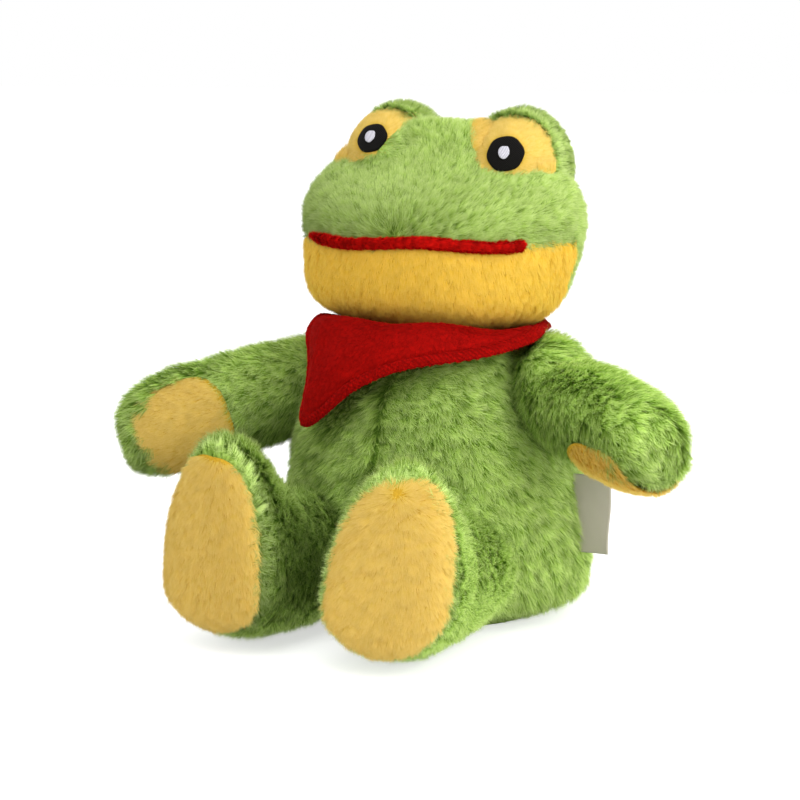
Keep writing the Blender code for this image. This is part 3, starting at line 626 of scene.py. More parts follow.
torso_points = form_grid(TORSO, TORSO_COLUMNS, TORSO_RINGS)
torso_normals = grid_normals(torso_points)
swell = hump(np.abs(torso_points[..., :1]), SHOULDER_X, SHOULDER_X_SPREAD)
swell = swell * hump(torso_points[..., 2:], SHOULDER_HEIGHT, SHOULDER_HEIGHT_SPREAD)
tuck = TUCK * ramp(torso_points[..., 2:], TUCK_STARTS, TUCK_ENDS)
torso_points = torso_points - torso_normals * (GREEN_PILE_DEPTH + tuck - SHOULDER_SWELL * swell)
torso_points[..., 2] = np.maximum(torso_points[..., 2], SEAT_TOP)
torso = add_surface("torso_body", torso_points, green_backing)
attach(torso, "torso")
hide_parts("torso")

roots, normals = scatter(torso_points, GREEN_PER_SQUARE_METRE, 11)
keep = (roots[:, 2] > SEAT_TOP + SEAT_MARGIN) & (roots[:, 2] < NECK_BARE_ABOVE)
roots, normals = roots[keep], normals[keep]
front, left = roots[:, 1] < 0, roots[:, 0] > 0
from_seam = roots[:, 0] - BELLY_SEAM_X
lay = np.zeros_like(roots)
lay[:, 2] = -1.0
lay[:, 0] = np.sign(from_seam) * np.exp(-np.abs(from_seam) / PARTING_REACH) * front
lay[:, 0] = PARTING_PULL * lay[:, 0] + LEFT_LEAN * left
pressed = under_press(roots)
stitched = hump(from_seam, 0, SEAM_HALF_WIDTH) * front
tuck = ramp(roots[:, 2], TUCK_STARTS, TUCK_ENDS)
length = GREEN_PILE_LENGTH * (1 - PRESSED_CUT * pressed) * (1 - SEAM_CUT * stitched)
length = (length * (1 - TUCK_CUT * tuck))[:, None]
# The pile's tone by place, mostly painted light and shade.
shade = TORSO_SHADE + CLOTH_PAINTED_SHADOW * pressed + SEAM_PAINTED_SHADE * stitched + BELLY_PAINTED_SHADE * front
shade = shade + LOW_BELLY_PAINTED_SHADE * ramp(roots[:, 2], LOW_BELLY_TOP, 0) * front
shade = shade + LEFT_PAINTED_LIGHT * ramp(roots[:, 0], LEFT_PAINTED_LIGHT_STARTS, LEFT_PAINTED_LIGHT_ENDS)
for name, part in (
    ("torso_pile_front_left", front & left), ("torso_pile_front_right", front & ~left),
    ("torso_pile_back_left", ~front & left), ("torso_pile_back_right", ~front & ~left),
):
    pile = add_pile(
        name, roots[part], normals[part], lay[part], green_pile, length[part],
        GREEN_PILE_WIDTH, lift=0.5, seed=21, shade=shade[part], parted=PARTED,
    )
    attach(pile, "torso")

# Seat: a flat oval of the same green fabric, cut short, sewn under the torso, with a cotton bag
# of plastic pellets lying on it inside the torso so that the toy sits upright.
SEAT_HALVES = (0.052, 0.047)
SEAT_ROWS = (
    # height, share of the half lengths
    (0.0, 0.0), (0.0, 0.985), (0.0006, 1.0), (0.0019, 1.0), (0.0025, 0.985), (0.0025, 0.0),
)
BAG_HALVES = (0.0395, 0.0355, 0.0500)
BAG_CLEARANCE = 0.0004
SEAT_COLUMNS, BAG_RINGS = 96, 20
around = np.linspace(0, 2 * np.pi, SEAT_COLUMNS + 1)
seat_rise, seat_share = np.array(SEAT_ROWS).T
seat_points = np.stack([
    np.outer(seat_share, np.cos(around)) * SEAT_HALVES[0],
    np.outer(seat_share, np.sin(around)) * SEAT_HALVES[1],
    np.outer(seat_rise, np.ones_like(around)),
], axis=-1)
seat = add_surface("seat_base", seat_points, green_backing)
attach(seat, "torso")
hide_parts("seat_panel")

cotton = backing_look("calico_cotton", "D9D2C2", mesh_size=0.0008)
rise = np.linspace(0, np.pi / 2, BAG_RINGS)[:, None]
bag_points = np.stack([
    np.cos(rise) * np.cos(around) * BAG_HALVES[0],
    np.cos(rise) * np.sin(around) * BAG_HALVES[1],
    SEAT_TOP + BAG_CLEARANCE + np.sin(rise) * BAG_HALVES[2] + 0 * around,
], axis=-1)
bag_floor = bag_points[:1] * np.array([0.0, 0.0, 1.0])
bag = add_surface("pellet_bag_cotton", np.concatenate([bag_floor, bag_points]), cotton)
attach(bag, "torso")
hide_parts("pellet_bag")

# Head: a wide blunt bag of the same green pile, shorter on the face, brushed away from a whorl
# above the middle of the mouth. It is sewn to the neck and leans two degrees to its left.
joints = {joint["name"]: joint for joint in frame["joints"]}
NECK = Vector(joints["head_turn"]["pos_m"])
HEAD_TILT = math.radians(2.0)
HEAD = {
    "low": 0.1545, "length": 0.1070, "halves": (0.0772, 0.0660, 0.0600), "blunt": 0.5,
    "rows": (
        # height, side, muzzle, back
        (0.0, 1.20, 1.12, 0.98),
        (0.08, 1.12, 1.11, 0.94),
        (0.26, 1.02, 1.03, 0.95),
        (0.42, 1.00, 1.00, 1.00),
        (0.54, 1.01, 0.95, 1.00),
        (0.63, 1.00, 0.81, 1.00),
        (0.74, 0.95, 0.49, 0.99),
        (0.85, 0.86, 0.31, 0.94),
        (0.93, 0.75, 0.28, 0.86),
        (1.0, 0.66, 0.26, 0.80),
    ),
}
HEAD_CENTRE = np.array([-0.0010, 0.006, 0.0])
MOUTH_HEIGHT = 0.1960
MOUTH_SLOPE = 0.006 / 0.0660
MOUTH_DIP, MOUTH_DIP_X, MOUTH_DIP_SPREAD = 0.0032, -0.026, 0.026
MOUTH_RISE, MOUTH_RISE_STARTS, MOUTH_RISE_ENDS, MOUTH_RISE_POWER = 0.0065, 0.046, 0.074, 1.5
SIDE_SEAM_Y = 0.006
FACE_PILE_LENGTH = 0.0080
FACE_PILE_DEPTH = 0.0040
HEAD_COLUMNS, HEAD_RINGS = 120, 84
HEAD_PER_SQUARE_METRE = 1.35 * GREEN_PER_SQUARE_METRE
HEAD_PILE_WIDTH, HEAD_TUFT = 0.9 * GREEN_PILE_WIDTH, 0.9 * TUFT_SIZE
WHORL = np.array([0.0, -0.060, 0.2035])
CHIN_SAG, CHIN_DEPTH = 0.0035, 0.035
# The pile of the back is a little shorter and hangs more, from one depth to another.
BACK_CUT, BACK_STARTS, BACK_ENDS, BACK_RISE, BACK_HANG = 0.20, -0.02, 0.03, 0.4, 0.5
# The muzzle's pile has painted shade near the mouth, most on the toy's right, and painted light up
# the forehead.
MOUTH_PAINTED_SHADE, MOUTH_PAINTED_SHADE_REACH, MOUTH_PAINTED_SHADE_TURN, CHEEK_X = -0.45, 0.030, 0.4, 0.05
HEAD_SHADE, FOREHEAD_PAINTED_LIGHT, FOREHEAD_STARTS, FOREHEAD_ENDS = 0.05, 0.10, 0.215, 0.245
# How far pile that another form hides goes on under that form.
UNDER_TORSO, UNDER_EYE, UNDER_JAW, UNDER_HEAD = 0.010, 0.003, 0.008, 0.004

head_place = (
    Matrix.Translation(NECK) @ Matrix.Rotation(HEAD_TILT, 4, "Y") @ Matrix.Translation(-NECK)
)


def mouth_at(points):
    """The mouth seam's height at places on the upright head.

    It climbs towards the front, dips on the toy's right and turns up at the left cheek."""
    x, y = points[..., 0], points[..., 1]
    dip = MOUTH_DIP * hump(x, MOUTH_DIP_X, MOUTH_DIP_SPREAD) * (y < 0)
    rise = MOUTH_RISE * ramp(x, MOUTH_RISE_STARTS, MOUTH_RISE_ENDS) ** MOUTH_RISE_POWER
    return MOUTH_HEIGHT + MOUTH_SLOPE * (SIDE_SEAM_Y - y) - dip + rise


def sagged(points):
    """The lower face hangs a little to the toy's right."""
    low = ramp(points[..., 2:], MOUTH_HEIGHT, MOUTH_HEIGHT - CHIN_DEPTH)
    return points - CHIN_SAG * low * np.array([1.0, 0.0, 0.0])


head_form = sagged(form_grid(HEAD, HEAD_COLUMNS, HEAD_RINGS) + HEAD_CENTRE)
head_skin = head_form - grid_normals(head_form) * FACE_PILE_DEPTH
head = add_surface("head_body", placed(head_skin, head_place), green_backing)
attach(head, "head")
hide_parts("head")


def in_jaw(points):
    """Whether places on the upright head belong to the yellow lower face."""
    return (points[:, 2] < mouth_at(points)) & (points[:, 1] < SIDE_SEAM_Y)


SIDES = {"left": 1, "right": -1}
EYE_CENTRE = np.array([0.036, 0.018, 0.2365])
EYE_RADII = np.array([0.0265, 0.0330, 0.0300])


def in_eye(points, margin):
    """Whether places on the upright head lie inside either eye mound."""
    found = np.zeros(len(points), bool)
    for side in SIDES.values():
        offset = (points - EYE_CENTRE * np.array([side, 1, 1])) / (EYE_RADII + margin)
        found |= np.sum(offset ** 2, axis=1) < 1
    return found


PUPIL_AIMS = {"left": (0.12, -0.90, 0.30), "right": (-0.06, -0.90, 0.44)}
PAD_REAR_Y = 0.014
PAD_REACH = {"left": 0.045, "right": 0.034}
PAD_WANDER_SIZE, PAD_WANDER_MM = 0.004, 0.8
PAD_FACING = -0.2
MM_IN_METRE = 1000
PAD_OUTLINES = {
    # corners of the yellow as the camera sees them, in mm right of and above the pupil's middle
    "left": (
        (-18.0, 16.6), (-10.0, 18.4), (-3.0, 20.0), (12.5, 19.2), (21.0, 11.4), (24.6, -1.5),
        (24.6, -12.0), (12.0, -10.6), (2.1, -9.6), (-10.9, -9.0), (-14.5, 3.1),
    ),
    "right": (
        (-0.5, 14.5), (12.4, 16.0), (24.0, 12.5), (15.5, 4.7), (9.6, -0.5), (3.0, -8.5),
        (-5.0, -11.0), (-16.0, -14.5), (-22.0, -10.0), (-22.0, 4.0), (-14.0, 13.0),
    ),
}


def in_outline(places, corners):
    """Whether flat places lie in a closed outline: an odd number of sides crossed to the right."""
    odd = np.zeros(len(places), bool)
    for (x0, y0), (x1, y1) in zip(corners, np.roll(corners, -1, axis=0)):
        between = (places[:, 1] > y0) != (places[:, 1] > y1)
        rise = (places[:, 1] - y0) / (y1 - y0 if y1 != y0 else 1.0)
        odd ^= between & (places[:, 0] < x0 + (x1 - x0) * rise)
    return odd


def in_pad(points, normals, side_name):
    """Whether places on the upright head belong to an eye's yellow pad, which spreads from the
    mound a little way over the forehead. The cut edge of the yellow wanders by 0.8 mm."""
    centre = EYE_CENTRE * np.array([SIDES[side_name], 1, 1])
    gaze = unit(np.array(PUPIL_AIMS[side_name]))
    middle = centre + gaze / np.linalg.norm(gaze / EYE_RADII)
    offset = MM_IN_METRE * turned(points - middle, head_place)
    offset = offset + wander(points, PAD_WANDER_SIZE, 87) * PAD_WANDER_MM
    seen = np.stack([offset @ np.array(right), offset @ np.array(up)], axis=-1)
    facing = turned(normals, head_place) @ np.array(back) > PAD_FACING
    near = np.linalg.norm(points - centre, axis=1) < PAD_REACH[side_name]
    near &= points[:, 1] < PAD_REAR_Y
    return in_outline(seen, np.array(PAD_OUTLINES[side_name])) & facing & near


roots, normals = scatter(head_skin, HEAD_PER_SQUARE_METRE, 31)
keep = ~in_jaw(roots) & ~inside(roots, TORSO, -UNDER_TORSO) & ~in_eye(roots, -UNDER_EYE)
keep &= ~in_pad(roots, normals, "left") & ~in_pad(roots, normals, "right")
roots, normals = roots[keep], normals[keep]
front = roots[:, 1] < 0
lay = unit(roots - WHORL)
lay[:, 2] *= np.where(front, 1.0, BACK_RISE)
lay[:, 2] -= BACK_HANG * ~front
length = FACE_PILE_LENGTH * (1 - BACK_CUT * ramp(roots[:, 1:2], BACK_STARTS, BACK_ENDS))
near_mouth = np.exp(-np.maximum(roots[:, 2] - mouth_at(roots), 0) / MOUTH_PAINTED_SHADE_REACH)
near_mouth = near_mouth * (1 - MOUTH_PAINTED_SHADE_TURN * np.clip(roots[:, 0] / CHEEK_X, -0.5, 1))
shade = FOREHEAD_PAINTED_LIGHT * ramp(roots[:, 2], FOREHEAD_STARTS, FOREHEAD_ENDS)
shade = HEAD_SHADE + (shade + MOUTH_PAINTED_SHADE * near_mouth) * front
for name, part in (("head_pile_front", front), ("head_pile_back", ~front)):
    pile = add_pile(
        name, roots[part], normals[part], lay[part], green_pile, length[part],
        HEAD_PILE_WIDTH, lift=0.6, seed=41, place=head_place, clump=0.8, ragged=0.28,
        tuft=HEAD_TUFT, shade=shade[part], relief=0.35, vary=0.17, bare=0.12, parted=0.07,
    )
    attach(pile, "head")

# Lower face: a panel of yellow pile sheared to about 6 mm, sewn to the green along the mouth and
# up the side seams, brushed down from the mouth.
YELLOW_PILE_LENGTH = 0.0058
YELLOW_PILE_DEPTH = 0.0020
YELLOW_PILE_WIDTH = 0.00042
YELLOW_PER_SQUARE_METRE = 9.0e6
# Strand colours from root to tip: the dark root colours are painted shade where the strands crowd.
YELLOW_HEXES = ("B98A10", "CA9F22", "D6B036", "E0C05C")
# A paler, less saturated copy of the same yellow pile for the pads, palms and soles: painted sheen.
SHEEN_PAINTED_YELLOW_HEXES = ("AC8A2C", "C09F3E", "CCAE50", "DAC074")
YELLOW_STOPS, YELLOW_TONES = (0.0, 0.25, 0.65, 1.0), (0.80, 1.18)
YELLOW_BACKING_HEX = "C89E2E"
PANEL_THICKNESS = 0.0014
# The panel stands less deep under its pile towards the chin, where the pile is pressed.
CHIN_FILL, CHIN_FILL_DEPTH = 0.7, 0.030
# Painted shade under the chin: the pile is darker low in the middle of the lower face.
CHIN_PAINTED_SHADE, CHIN_PAINTED_SHADE_SPREAD, CHIN_PAINTED_SHADE_STARTS, CHIN_PAINTED_SHADE_ENDS = -0.15, 0.04, 0.190, 0.170
FAN_OUT = 6.0
JAW_COLUMNS, JAW_RINGS, JAW_ARC_STEPS = 120, 70, 400
yellow_backing = backing_look("knitted_polyester_yellow", YELLOW_BACKING_HEX)
yellow_pile = pile_look("sheared_acrylic_pile_yellow", YELLOW_HEXES, YELLOW_STOPS, *YELLOW_TONES)
sheen_painted_pile = pile_look(
    "acrylic_pile_yellow_painted_sheen", SHEEN_PAINTED_YELLOW_HEXES, YELLOW_STOPS, *YELLOW_TONES
)

around = np.linspace(np.pi, 2 * np.pi, JAW_COLUMNS + 1)
rises, arcs = even_rises(HEAD, JAW_ARC_STEPS), np.linspace(0, 1, JAW_ARC_STEPS)
full = form_points(HEAD, around[None, :], rises[:, None]) + HEAD_CENTRE
over = full[..., 2] - mouth_at(full)
top_rise = np.array([np.interp(0.0, column, rises) for column in over.T])
steps = np.linspace(0, 1, JAW_RINGS)[:, None] * np.interp(top_rise, rises, arcs)
steps = np.interp(steps, arcs, rises)
jaw_form = sagged(form_points(HEAD, around[None, :], steps) + HEAD_CENTRE)
chin = ramp((mouth_at(jaw_form) - jaw_form[..., 2])[..., None], 0, CHIN_FILL_DEPTH)
jaw_skin = jaw_form - grid_normals(jaw_form) * YELLOW_PILE_DEPTH * (1 - CHIN_FILL * chin)
jaw = add_surface("jaw_panel", placed(jaw_skin, head_place), yellow_backing, PANEL_THICKNESS)
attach(jaw, "head")
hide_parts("jaw")

roots, normals = scatter(jaw_skin, YELLOW_PER_SQUARE_METRE, 51)
keep = ~inside(roots, TORSO, -UNDER_JAW)
roots, normals = roots[keep], normals[keep]
lay = np.zeros_like(roots)
lay[:, 2] = -1.0
lay[:, 0] = roots[:, 0] * FAN_OUT
shade = CHIN_PAINTED_SHADE * ramp(roots[:, 2], CHIN_PAINTED_SHADE_STARTS, CHIN_PAINTED_SHADE_ENDS)
pile = add_pile(
    "jaw_pile", roots, normals, lay, yellow_pile, YELLOW_PILE_LENGTH, YELLOW_PILE_WIDTH, lift=0.4,
    seed=61, place=head_place, clump=0.12, ragged=0.12, relief=0.05, vary=0.12, bare=0.45,
    shade=shade * hump(roots[:, 0], 0, CHIN_PAINTED_SHADE_SPREAD),
)
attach(pile, "head")

# Lip: a strip of red short-nap cloth rolled on itself and stitched into the mouth seam, so that
# it shows as a soft roll of uneven fullness with a crease along its outer side.
LIP_ENDS = (math.radians(-47.0), math.radians(54.0))
LIP_END_SPANS, LIP_END_POWERS, LIP_END_LEAST = (0.22, 0.02), (0.7, 0.5), 0.001
LIP_RADIUS = 0.0021
LIP_STAND_OFF = 0.0011
LIP_CREASE, LIP_CREASE_SPREAD, LIP_CREASE_TURN = 0.26, 0.16, 0.15
LIP_WOBBLE_SIZE, LIP_WOBBLE_SHARE, LIP_WOBBLE_RISE = 0.007, 0.22, 0.0005
LIP_FLATNESS = 1.05
LIP_STEPS, LIP_SECTION = 121, 33
RED_BACKING_HEX, RED_TONES = "8A0301", (0.60, 1.25)
LIP_NAP_LENGTH, LIP_NAP_WIDTH, LIP_NAP_PER_SQUARE_METRE = 0.0030, 0.00038, 14.0e6
# Strand colours from root to tip: the dark root colours are painted shade where the strands crowd.
RED_HEXES = ("580100", "860301", "9E0602", "B41109")
RED_STOPS = (0.0, 0.3, 0.7, 1.0)
red_backing = backing_look("short_nap_polyester_red", RED_BACKING_HEX, mesh_size=0.0009)
red_nap = pile_look("short_nap_red", RED_HEXES, RED_STOPS, *RED_TONES)

turn = np.linspace(*LIP_ENDS, LIP_STEPS)
at = 1.5 * np.pi + turn
path, outward = (
    np.stack([np.interp(at, around, top[:, i]) for i in range(3)], axis=-1)
    for top in (jaw_form[-1], grid_normals(jaw_form)[-1])
)
outward = unit(outward)
upward = unit(np.cross(unit(np.gradient(path, axis=0)), outward))
upward = upward * np.sign(upward[:, 2:])
section = np.linspace(0, 2 * np.pi, LIP_SECTION)
crease = hump(np.sin(section / 2 + LIP_CREASE_TURN), 0, LIP_CREASE_SPREAD)
ends = 1.0
for run, span, power in zip(
    (turn - LIP_ENDS[0], LIP_ENDS[1] - turn), LIP_END_SPANS, LIP_END_POWERS
):
    ends = ends * np.minimum(1.0, run / span + LIP_END_LEAST)[:, None] ** power
wobble = wander(path, LIP_WOBBLE_SIZE, 71)[:, :1]
radius = LIP_RADIUS * ends * (1 + LIP_WOBBLE_SHARE * wobble) * (1 - LIP_CREASE * crease)
lip_points = (
    (path + outward * LIP_STAND_OFF + upward * LIP_WOBBLE_RISE * wobble)[:, None]
    + outward[:, None] * (np.cos(section) * radius)[..., None]
    + upward[:, None] * (np.sin(section) * radius * LIP_FLATNESS)[..., None]
)
lip_points = placed(lip_points, head_place)
lip = add_surface("lip_roll", lip_points, red_backing)
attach(lip, "head")
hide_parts("mouth_lip")
roots, normals = scatter(lip_points, LIP_NAP_PER_SQUARE_METRE, 72)
lay = np.array([[1.0, 0.0, 0.0]])
nap = add_pile(
    "lip_nap", roots, normals, lay, red_nap, LIP_NAP_LENGTH, LIP_NAP_WIDTH, lift=0.4, seed=73,
    clump=0.7, ragged=0.4, tuft=0.0020, relief=0.5, vary=0.36, bare=0.3, shade=0.2,
)
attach(nap, "head")

# Eyes: each is a stuffed mound. Its front is a pad of short yellow pile with a pupil of black
# satin stitch and a grey-white highlight stitched over it, and its back is green pile that
# stands up round the yellow as a lid.
LID_PLANE_Y = 0.010
LID_GROWTH = 0.0024
PUPIL_HALVES = {"left": (0.0100, 0.0094), "right": (0.0089, 0.0083)}
PUPIL_THICKNESS = 0.0004
HIGHLIGHT_RADIUS = 0.0034
HIGHLIGHT_THICKNESS = 0.0008
EYE_PILE_LENGTH = 0.0036
EYE_PILE_DEPTH = 0.0014
LID_PILE_LENGTH = 0.0085
BROW_PILE_LENGTH, BROW_PILE_WIDTH, BROW_TUFT = (
    0.8 * LID_PILE_LENGTH, 0.85 * GREEN_PILE_WIDTH, 0.8 * TUFT_SIZE
)
LID_PER_SQUARE_METRE = 1.4 * GREEN_PER_SQUARE_METRE
STITCH_PITCH = 0.0007
WAVE_SCALE = 0.31  # a wave texture of this scale repeats once in a metre
STITCH_GAP_PAINTED_SHADE = 0.45
STITCH_ROUGHNESS, STITCH_SPECULAR = 0.7, 0.10
BLACK_HEX, WHITE_HEX = "0B0907", "DAD8E2"
EYE_COLUMNS, EYE_RINGS = 72, 48
UNDER_BROW = 0.002
# Yellow pile that runs on over the brow is longer and stands on the head's own backing.
BROW_LIFT, BROW_LONGER = 0.0030, 1.7
PUPIL_OVERLAP = 0.0004
LID_PILE_DEPTH, LID_SEAM_GAP = 0.0036, 0.0004
LID_EDGE_REACH = 0.006
LID_OUTER_SPAN, LID_OUTER_CUT = 0.02, 0.45
LID_REAR_Y, LID_RIGHT_REAR_Y = LID_PLANE_Y - 0.001, LID_PLANE_Y + 0.004
BROW_REAR_Y = LID_PLANE_Y + 0.002
LID_CORE, LID_CORE_SHARE = 0.004, 0.9
LID_LAY, LID_EDGE_LAY, LID_EDGE_TURN = (0.0, 1.0, -0.2), (0.0, -0.9, 0.0), 0.6
STITCH_UNDER, STITCH_OVER, HIGHLIGHT_OVER = 0.0012, 0.0002, 0.0001
HIGHLIGHT_OVAL = (0.85, 1.05)
# A disc of thread is nearly flat, rounds off over its last part, and its outline wavers.
DISC_COLUMNS, DISC_FLAT, DISC_FLAT_RINGS, DISC_WAVES = 96, 0.94, 14, 5
DISC_EDGE = (
    # share of the radius, share of the thickness
    (0.985, 0.75), (1.0, 0.5), (0.97, 0.0), (0.0, 0.0),
)
DISC_FALL, DISC_FALL_POWER = 0.12, 6


def stitch_look(name, code, angle):
    """Rayon satin stitch: parallel threads 0.7 mm apart with a soft gloss along them."""
    look, tree, shader = new_look(name, STITCH_ROUGHNESS, STITCH_SPECULAR)
    where = add_node(tree, "ShaderNodeTexCoord")
    turn = add_node(
        tree, "ShaderNodeMapping", {"Vector": where.outputs["Object"], "Rotation": (0.0, angle, 0.0)}
    )
    threads = add_node(
        tree, "ShaderNodeTexWave",
        {"Vector": turn.outputs[0], "Scale": WAVE_SCALE / STITCH_PITCH, "Distortion": 1.5,
         "Detail": 1.0, "Detail Scale": 0.6},
        bands_direction="X",
    )
    # The gaps between threads are dimmed: painted shade.
    dark = dimmed(linear(code), STITCH_GAP_PAINTED_SHADE)
    weave(tree, shader, threads, dark, linear(code), STITCH_PITCH / 2)
    return look


black_stitch = stitch_look("rayon_satin_stitch_black", BLACK_HEX, angle=0.9)
white_stitch = stitch_look("rayon_satin_stitch_white", WHITE_HEX, angle=0.5)


def ellipsoid_grid(centre, radii, columns, rings):
    """An ellipsoid as a closed grid round its Z axis."""
    a = np.linspace(0, 2 * np.pi, columns + 1)[None, :]
    r = np.linspace(-np.pi / 2, np.pi / 2, rings)[:, None]
    sphere = np.stack([np.cos(r) * np.cos(a), np.cos(r) * np.sin(a), np.sin(r) + 0 * a], axis=-1)
    return centre + sphere * radii


def stitched_disc(centre, radii, gaze, halves, low, high, ragged, seed):
    """A disc of thread on an ellipsoid: rings walked out from the gaze, front face then back."""
    across = unit(np.cross((0.0, 0.0, 1.0), gaze))
    over = np.cross(gaze, across)
    a = np.linspace(0, 2 * np.pi, DISC_COLUMNS + 1)
    wave = np.random.default_rng(seed).uniform(-1, 1, (3, DISC_WAVES))
    edge = 1 + ragged * sum(
        wave[0, i] * np.sin((i + 2) * a + 3 * wave[1, i]) for i in range(DISC_WAVES)
    ) / 2
    rings = []
    flat = [(share, 1.0) for share in np.linspace(0, DISC_FLAT, DISC_FLAT_RINGS)]
    for share, climb in (*flat, *DISC_EDGE):
        offset = (
            np.outer(np.cos(a) * edge * halves[0] * share, across)
            + np.outer(np.sin(a) * edge * halves[1] * share, over)
        )
        start = gaze * 0.5 * radii.mean() + offset
        climb = climb - DISC_FALL * share ** DISC_FALL_POWER
        scale = radii + low + (high - low) * climb
        q_a = np.sum((gaze / scale) ** 2)
        q_b = 2 * np.sum(start * gaze / scale ** 2, axis=1)
        q_c = np.sum((start / scale) ** 2, axis=1) - 1
        run = (-q_b + np.sqrt(q_b ** 2 - 4 * q_a * q_c)) / (2 * q_a)
        rings.append(centre + start + run[:, None] * gaze)
    return np.array(rings)


for side_name, side in SIDES.items():
    centre = EYE_CENTRE * np.array([side, 1, 1])
    gaze = unit(np.array(PUPIL_AIMS[side_name]))
    pad_points = ellipsoid_grid(centre, EYE_RADII - EYE_PILE_DEPTH, EYE_COLUMNS, EYE_RINGS)
    pad = add_surface(f"eye_pad_{side_name}_body", placed(pad_points, head_place), yellow_backing)
    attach(pad, "head")
    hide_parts(f"eye_pad_{side_name}")

    roots, normals = scatter(pad_points, YELLOW_PER_SQUARE_METRE, 81)
    halves = PUPIL_HALVES[side_name]
    lay = across_normal(roots - centre, gaze)
    free = np.linalg.norm(lay, axis=1) > halves[1] - PUPIL_OVERLAP
    free |= (roots - centre) @ gaze < 0
    yellow = in_pad(roots, normals, side_name)
    shown = ~inside(roots - HEAD_CENTRE, HEAD, -UNDER_HEAD)
    keep = free & yellow & shown
    over, over_normals = scatter(head_skin, YELLOW_PER_SQUARE_METRE, 80)
    brow = in_pad(over, over_normals, side_name) & ~in_eye(over, -UNDER_BROW)
    over, over_normals = over[brow] + BROW_LIFT * over_normals[brow], over_normals[brow]
    longer = np.concatenate([np.ones(keep.sum()), np.full(len(over), BROW_LONGER)])[:, None]
    pile = add_pile(
        f"eye_pad_{side_name}_pile", np.concatenate([roots[keep], over]),
        np.concatenate([normals[keep], over_normals]), np.concatenate([lay[keep], centre - over]),
        sheen_painted_pile, EYE_PILE_LENGTH * longer, YELLOW_PILE_WIDTH, lift=0.5, seed=82,
        place=head_place, clump=0.2, ragged=0.2, relief=0.1, vary=0.12, bare=0.4, shade=-0.10,
    )
    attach(pile, "head")
    draw = np.random.default_rng(88)
    keep = shown & ~yellow & (roots[:, 1] < BROW_REAR_Y)
    keep &= draw.uniform(size=len(roots)) < LID_PER_SQUARE_METRE / YELLOW_PER_SQUARE_METRE
    pile = add_pile(
        f"eye_brow_{side_name}_pile", roots[keep], normals[keep], lay[keep], green_pile,
        BROW_PILE_LENGTH, BROW_PILE_WIDTH, lift=0.7, seed=89, place=head_place, clump=0.4,
        ragged=0.35, tuft=BROW_TUFT, relief=0.3, shade=-0.05, bare=0.35, parted=0.08,
    )
    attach(pile, "head")

    lid_radii = EYE_RADII + LID_GROWTH - LID_PILE_DEPTH
    lid_points = ellipsoid_grid(centre, lid_radii, EYE_COLUMNS, EYE_RINGS)
    lid_points[..., 1] = np.maximum(lid_points[..., 1], LID_PLANE_Y + LID_SEAM_GAP)
    lid = add_surface(f"eyelid_{side_name}_body", placed(lid_points, head_place), green_backing)
    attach(lid, "head")
    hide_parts(f"eyelid_{side_name}")

    roots, normals = scatter(lid_points, LID_PER_SQUARE_METRE, 83)
    outer = ramp((roots[:, 0] - centre[0]) * side, 0, LID_OUTER_SPAN)
    keep = (roots[:, 1] > LID_REAR_Y) & ~inside(roots - HEAD_CENTRE, HEAD, -UNDER_HEAD)
    keep &= (outer < 0.5) | (side > 0) | (roots[:, 1] > LID_RIGHT_REAR_Y)
    core = (roots - centre) / (EYE_RADII - LID_CORE)
    keep &= np.sum(core ** 2, axis=1) > LID_CORE_SHARE
    roots, normals = roots[keep], normals[keep]
    rim = np.exp(-np.maximum(roots[:, 1] - LID_PLANE_Y, 0) / LID_EDGE_REACH)[:, None]
    outward = unit((roots - centre) * np.array([1, 0, 1]))
    lay = np.array(LID_LAY) * (1 - rim) + rim * (np.array(LID_EDGE_LAY) + outward)
    normals = unit(normals * (1 - LID_EDGE_TURN * rim) + outward * rim)
    pile = add_pile(
        f"eyelid_{side_name}_pile", roots, normals, lay, green_pile,
        LID_PILE_LENGTH * (1 - LID_OUTER_CUT * outer[keep, None]), GREEN_PILE_WIDTH, lift=0.6,
        seed=84, place=head_place, shade=-0.18, vary=0.2, bare=0.15, parted=0.15,
    )
    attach(pile, "head")

    pupil_points = stitched_disc(
        centre, EYE_RADII, gaze, halves, -STITCH_UNDER, PUPIL_THICKNESS + STITCH_OVER,
        ragged=0.05, seed=85,
    )
    pupil = add_surface(f"pupil_{side_name}_stitch", placed(pupil_points, head_place), black_stitch)
    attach(pupil, "head")
    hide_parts(f"pupil_{side_name}")
    low = PUPIL_THICKNESS + HIGHLIGHT_OVER
    spark_points = stitched_disc(
        centre, EYE_RADII, gaze, HIGHLIGHT_RADIUS * np.array(HIGHLIGHT_OVAL),
        low, low + HIGHLIGHT_THICKNESS, ragged=0.12, seed=86,
    )
    spark = add_surface(
        f"highlight_{side_name}_stitch", placed(spark_points, head_place), white_stitch
    )
    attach(spark, "head")
    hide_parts(f"highlight_{side_name}")

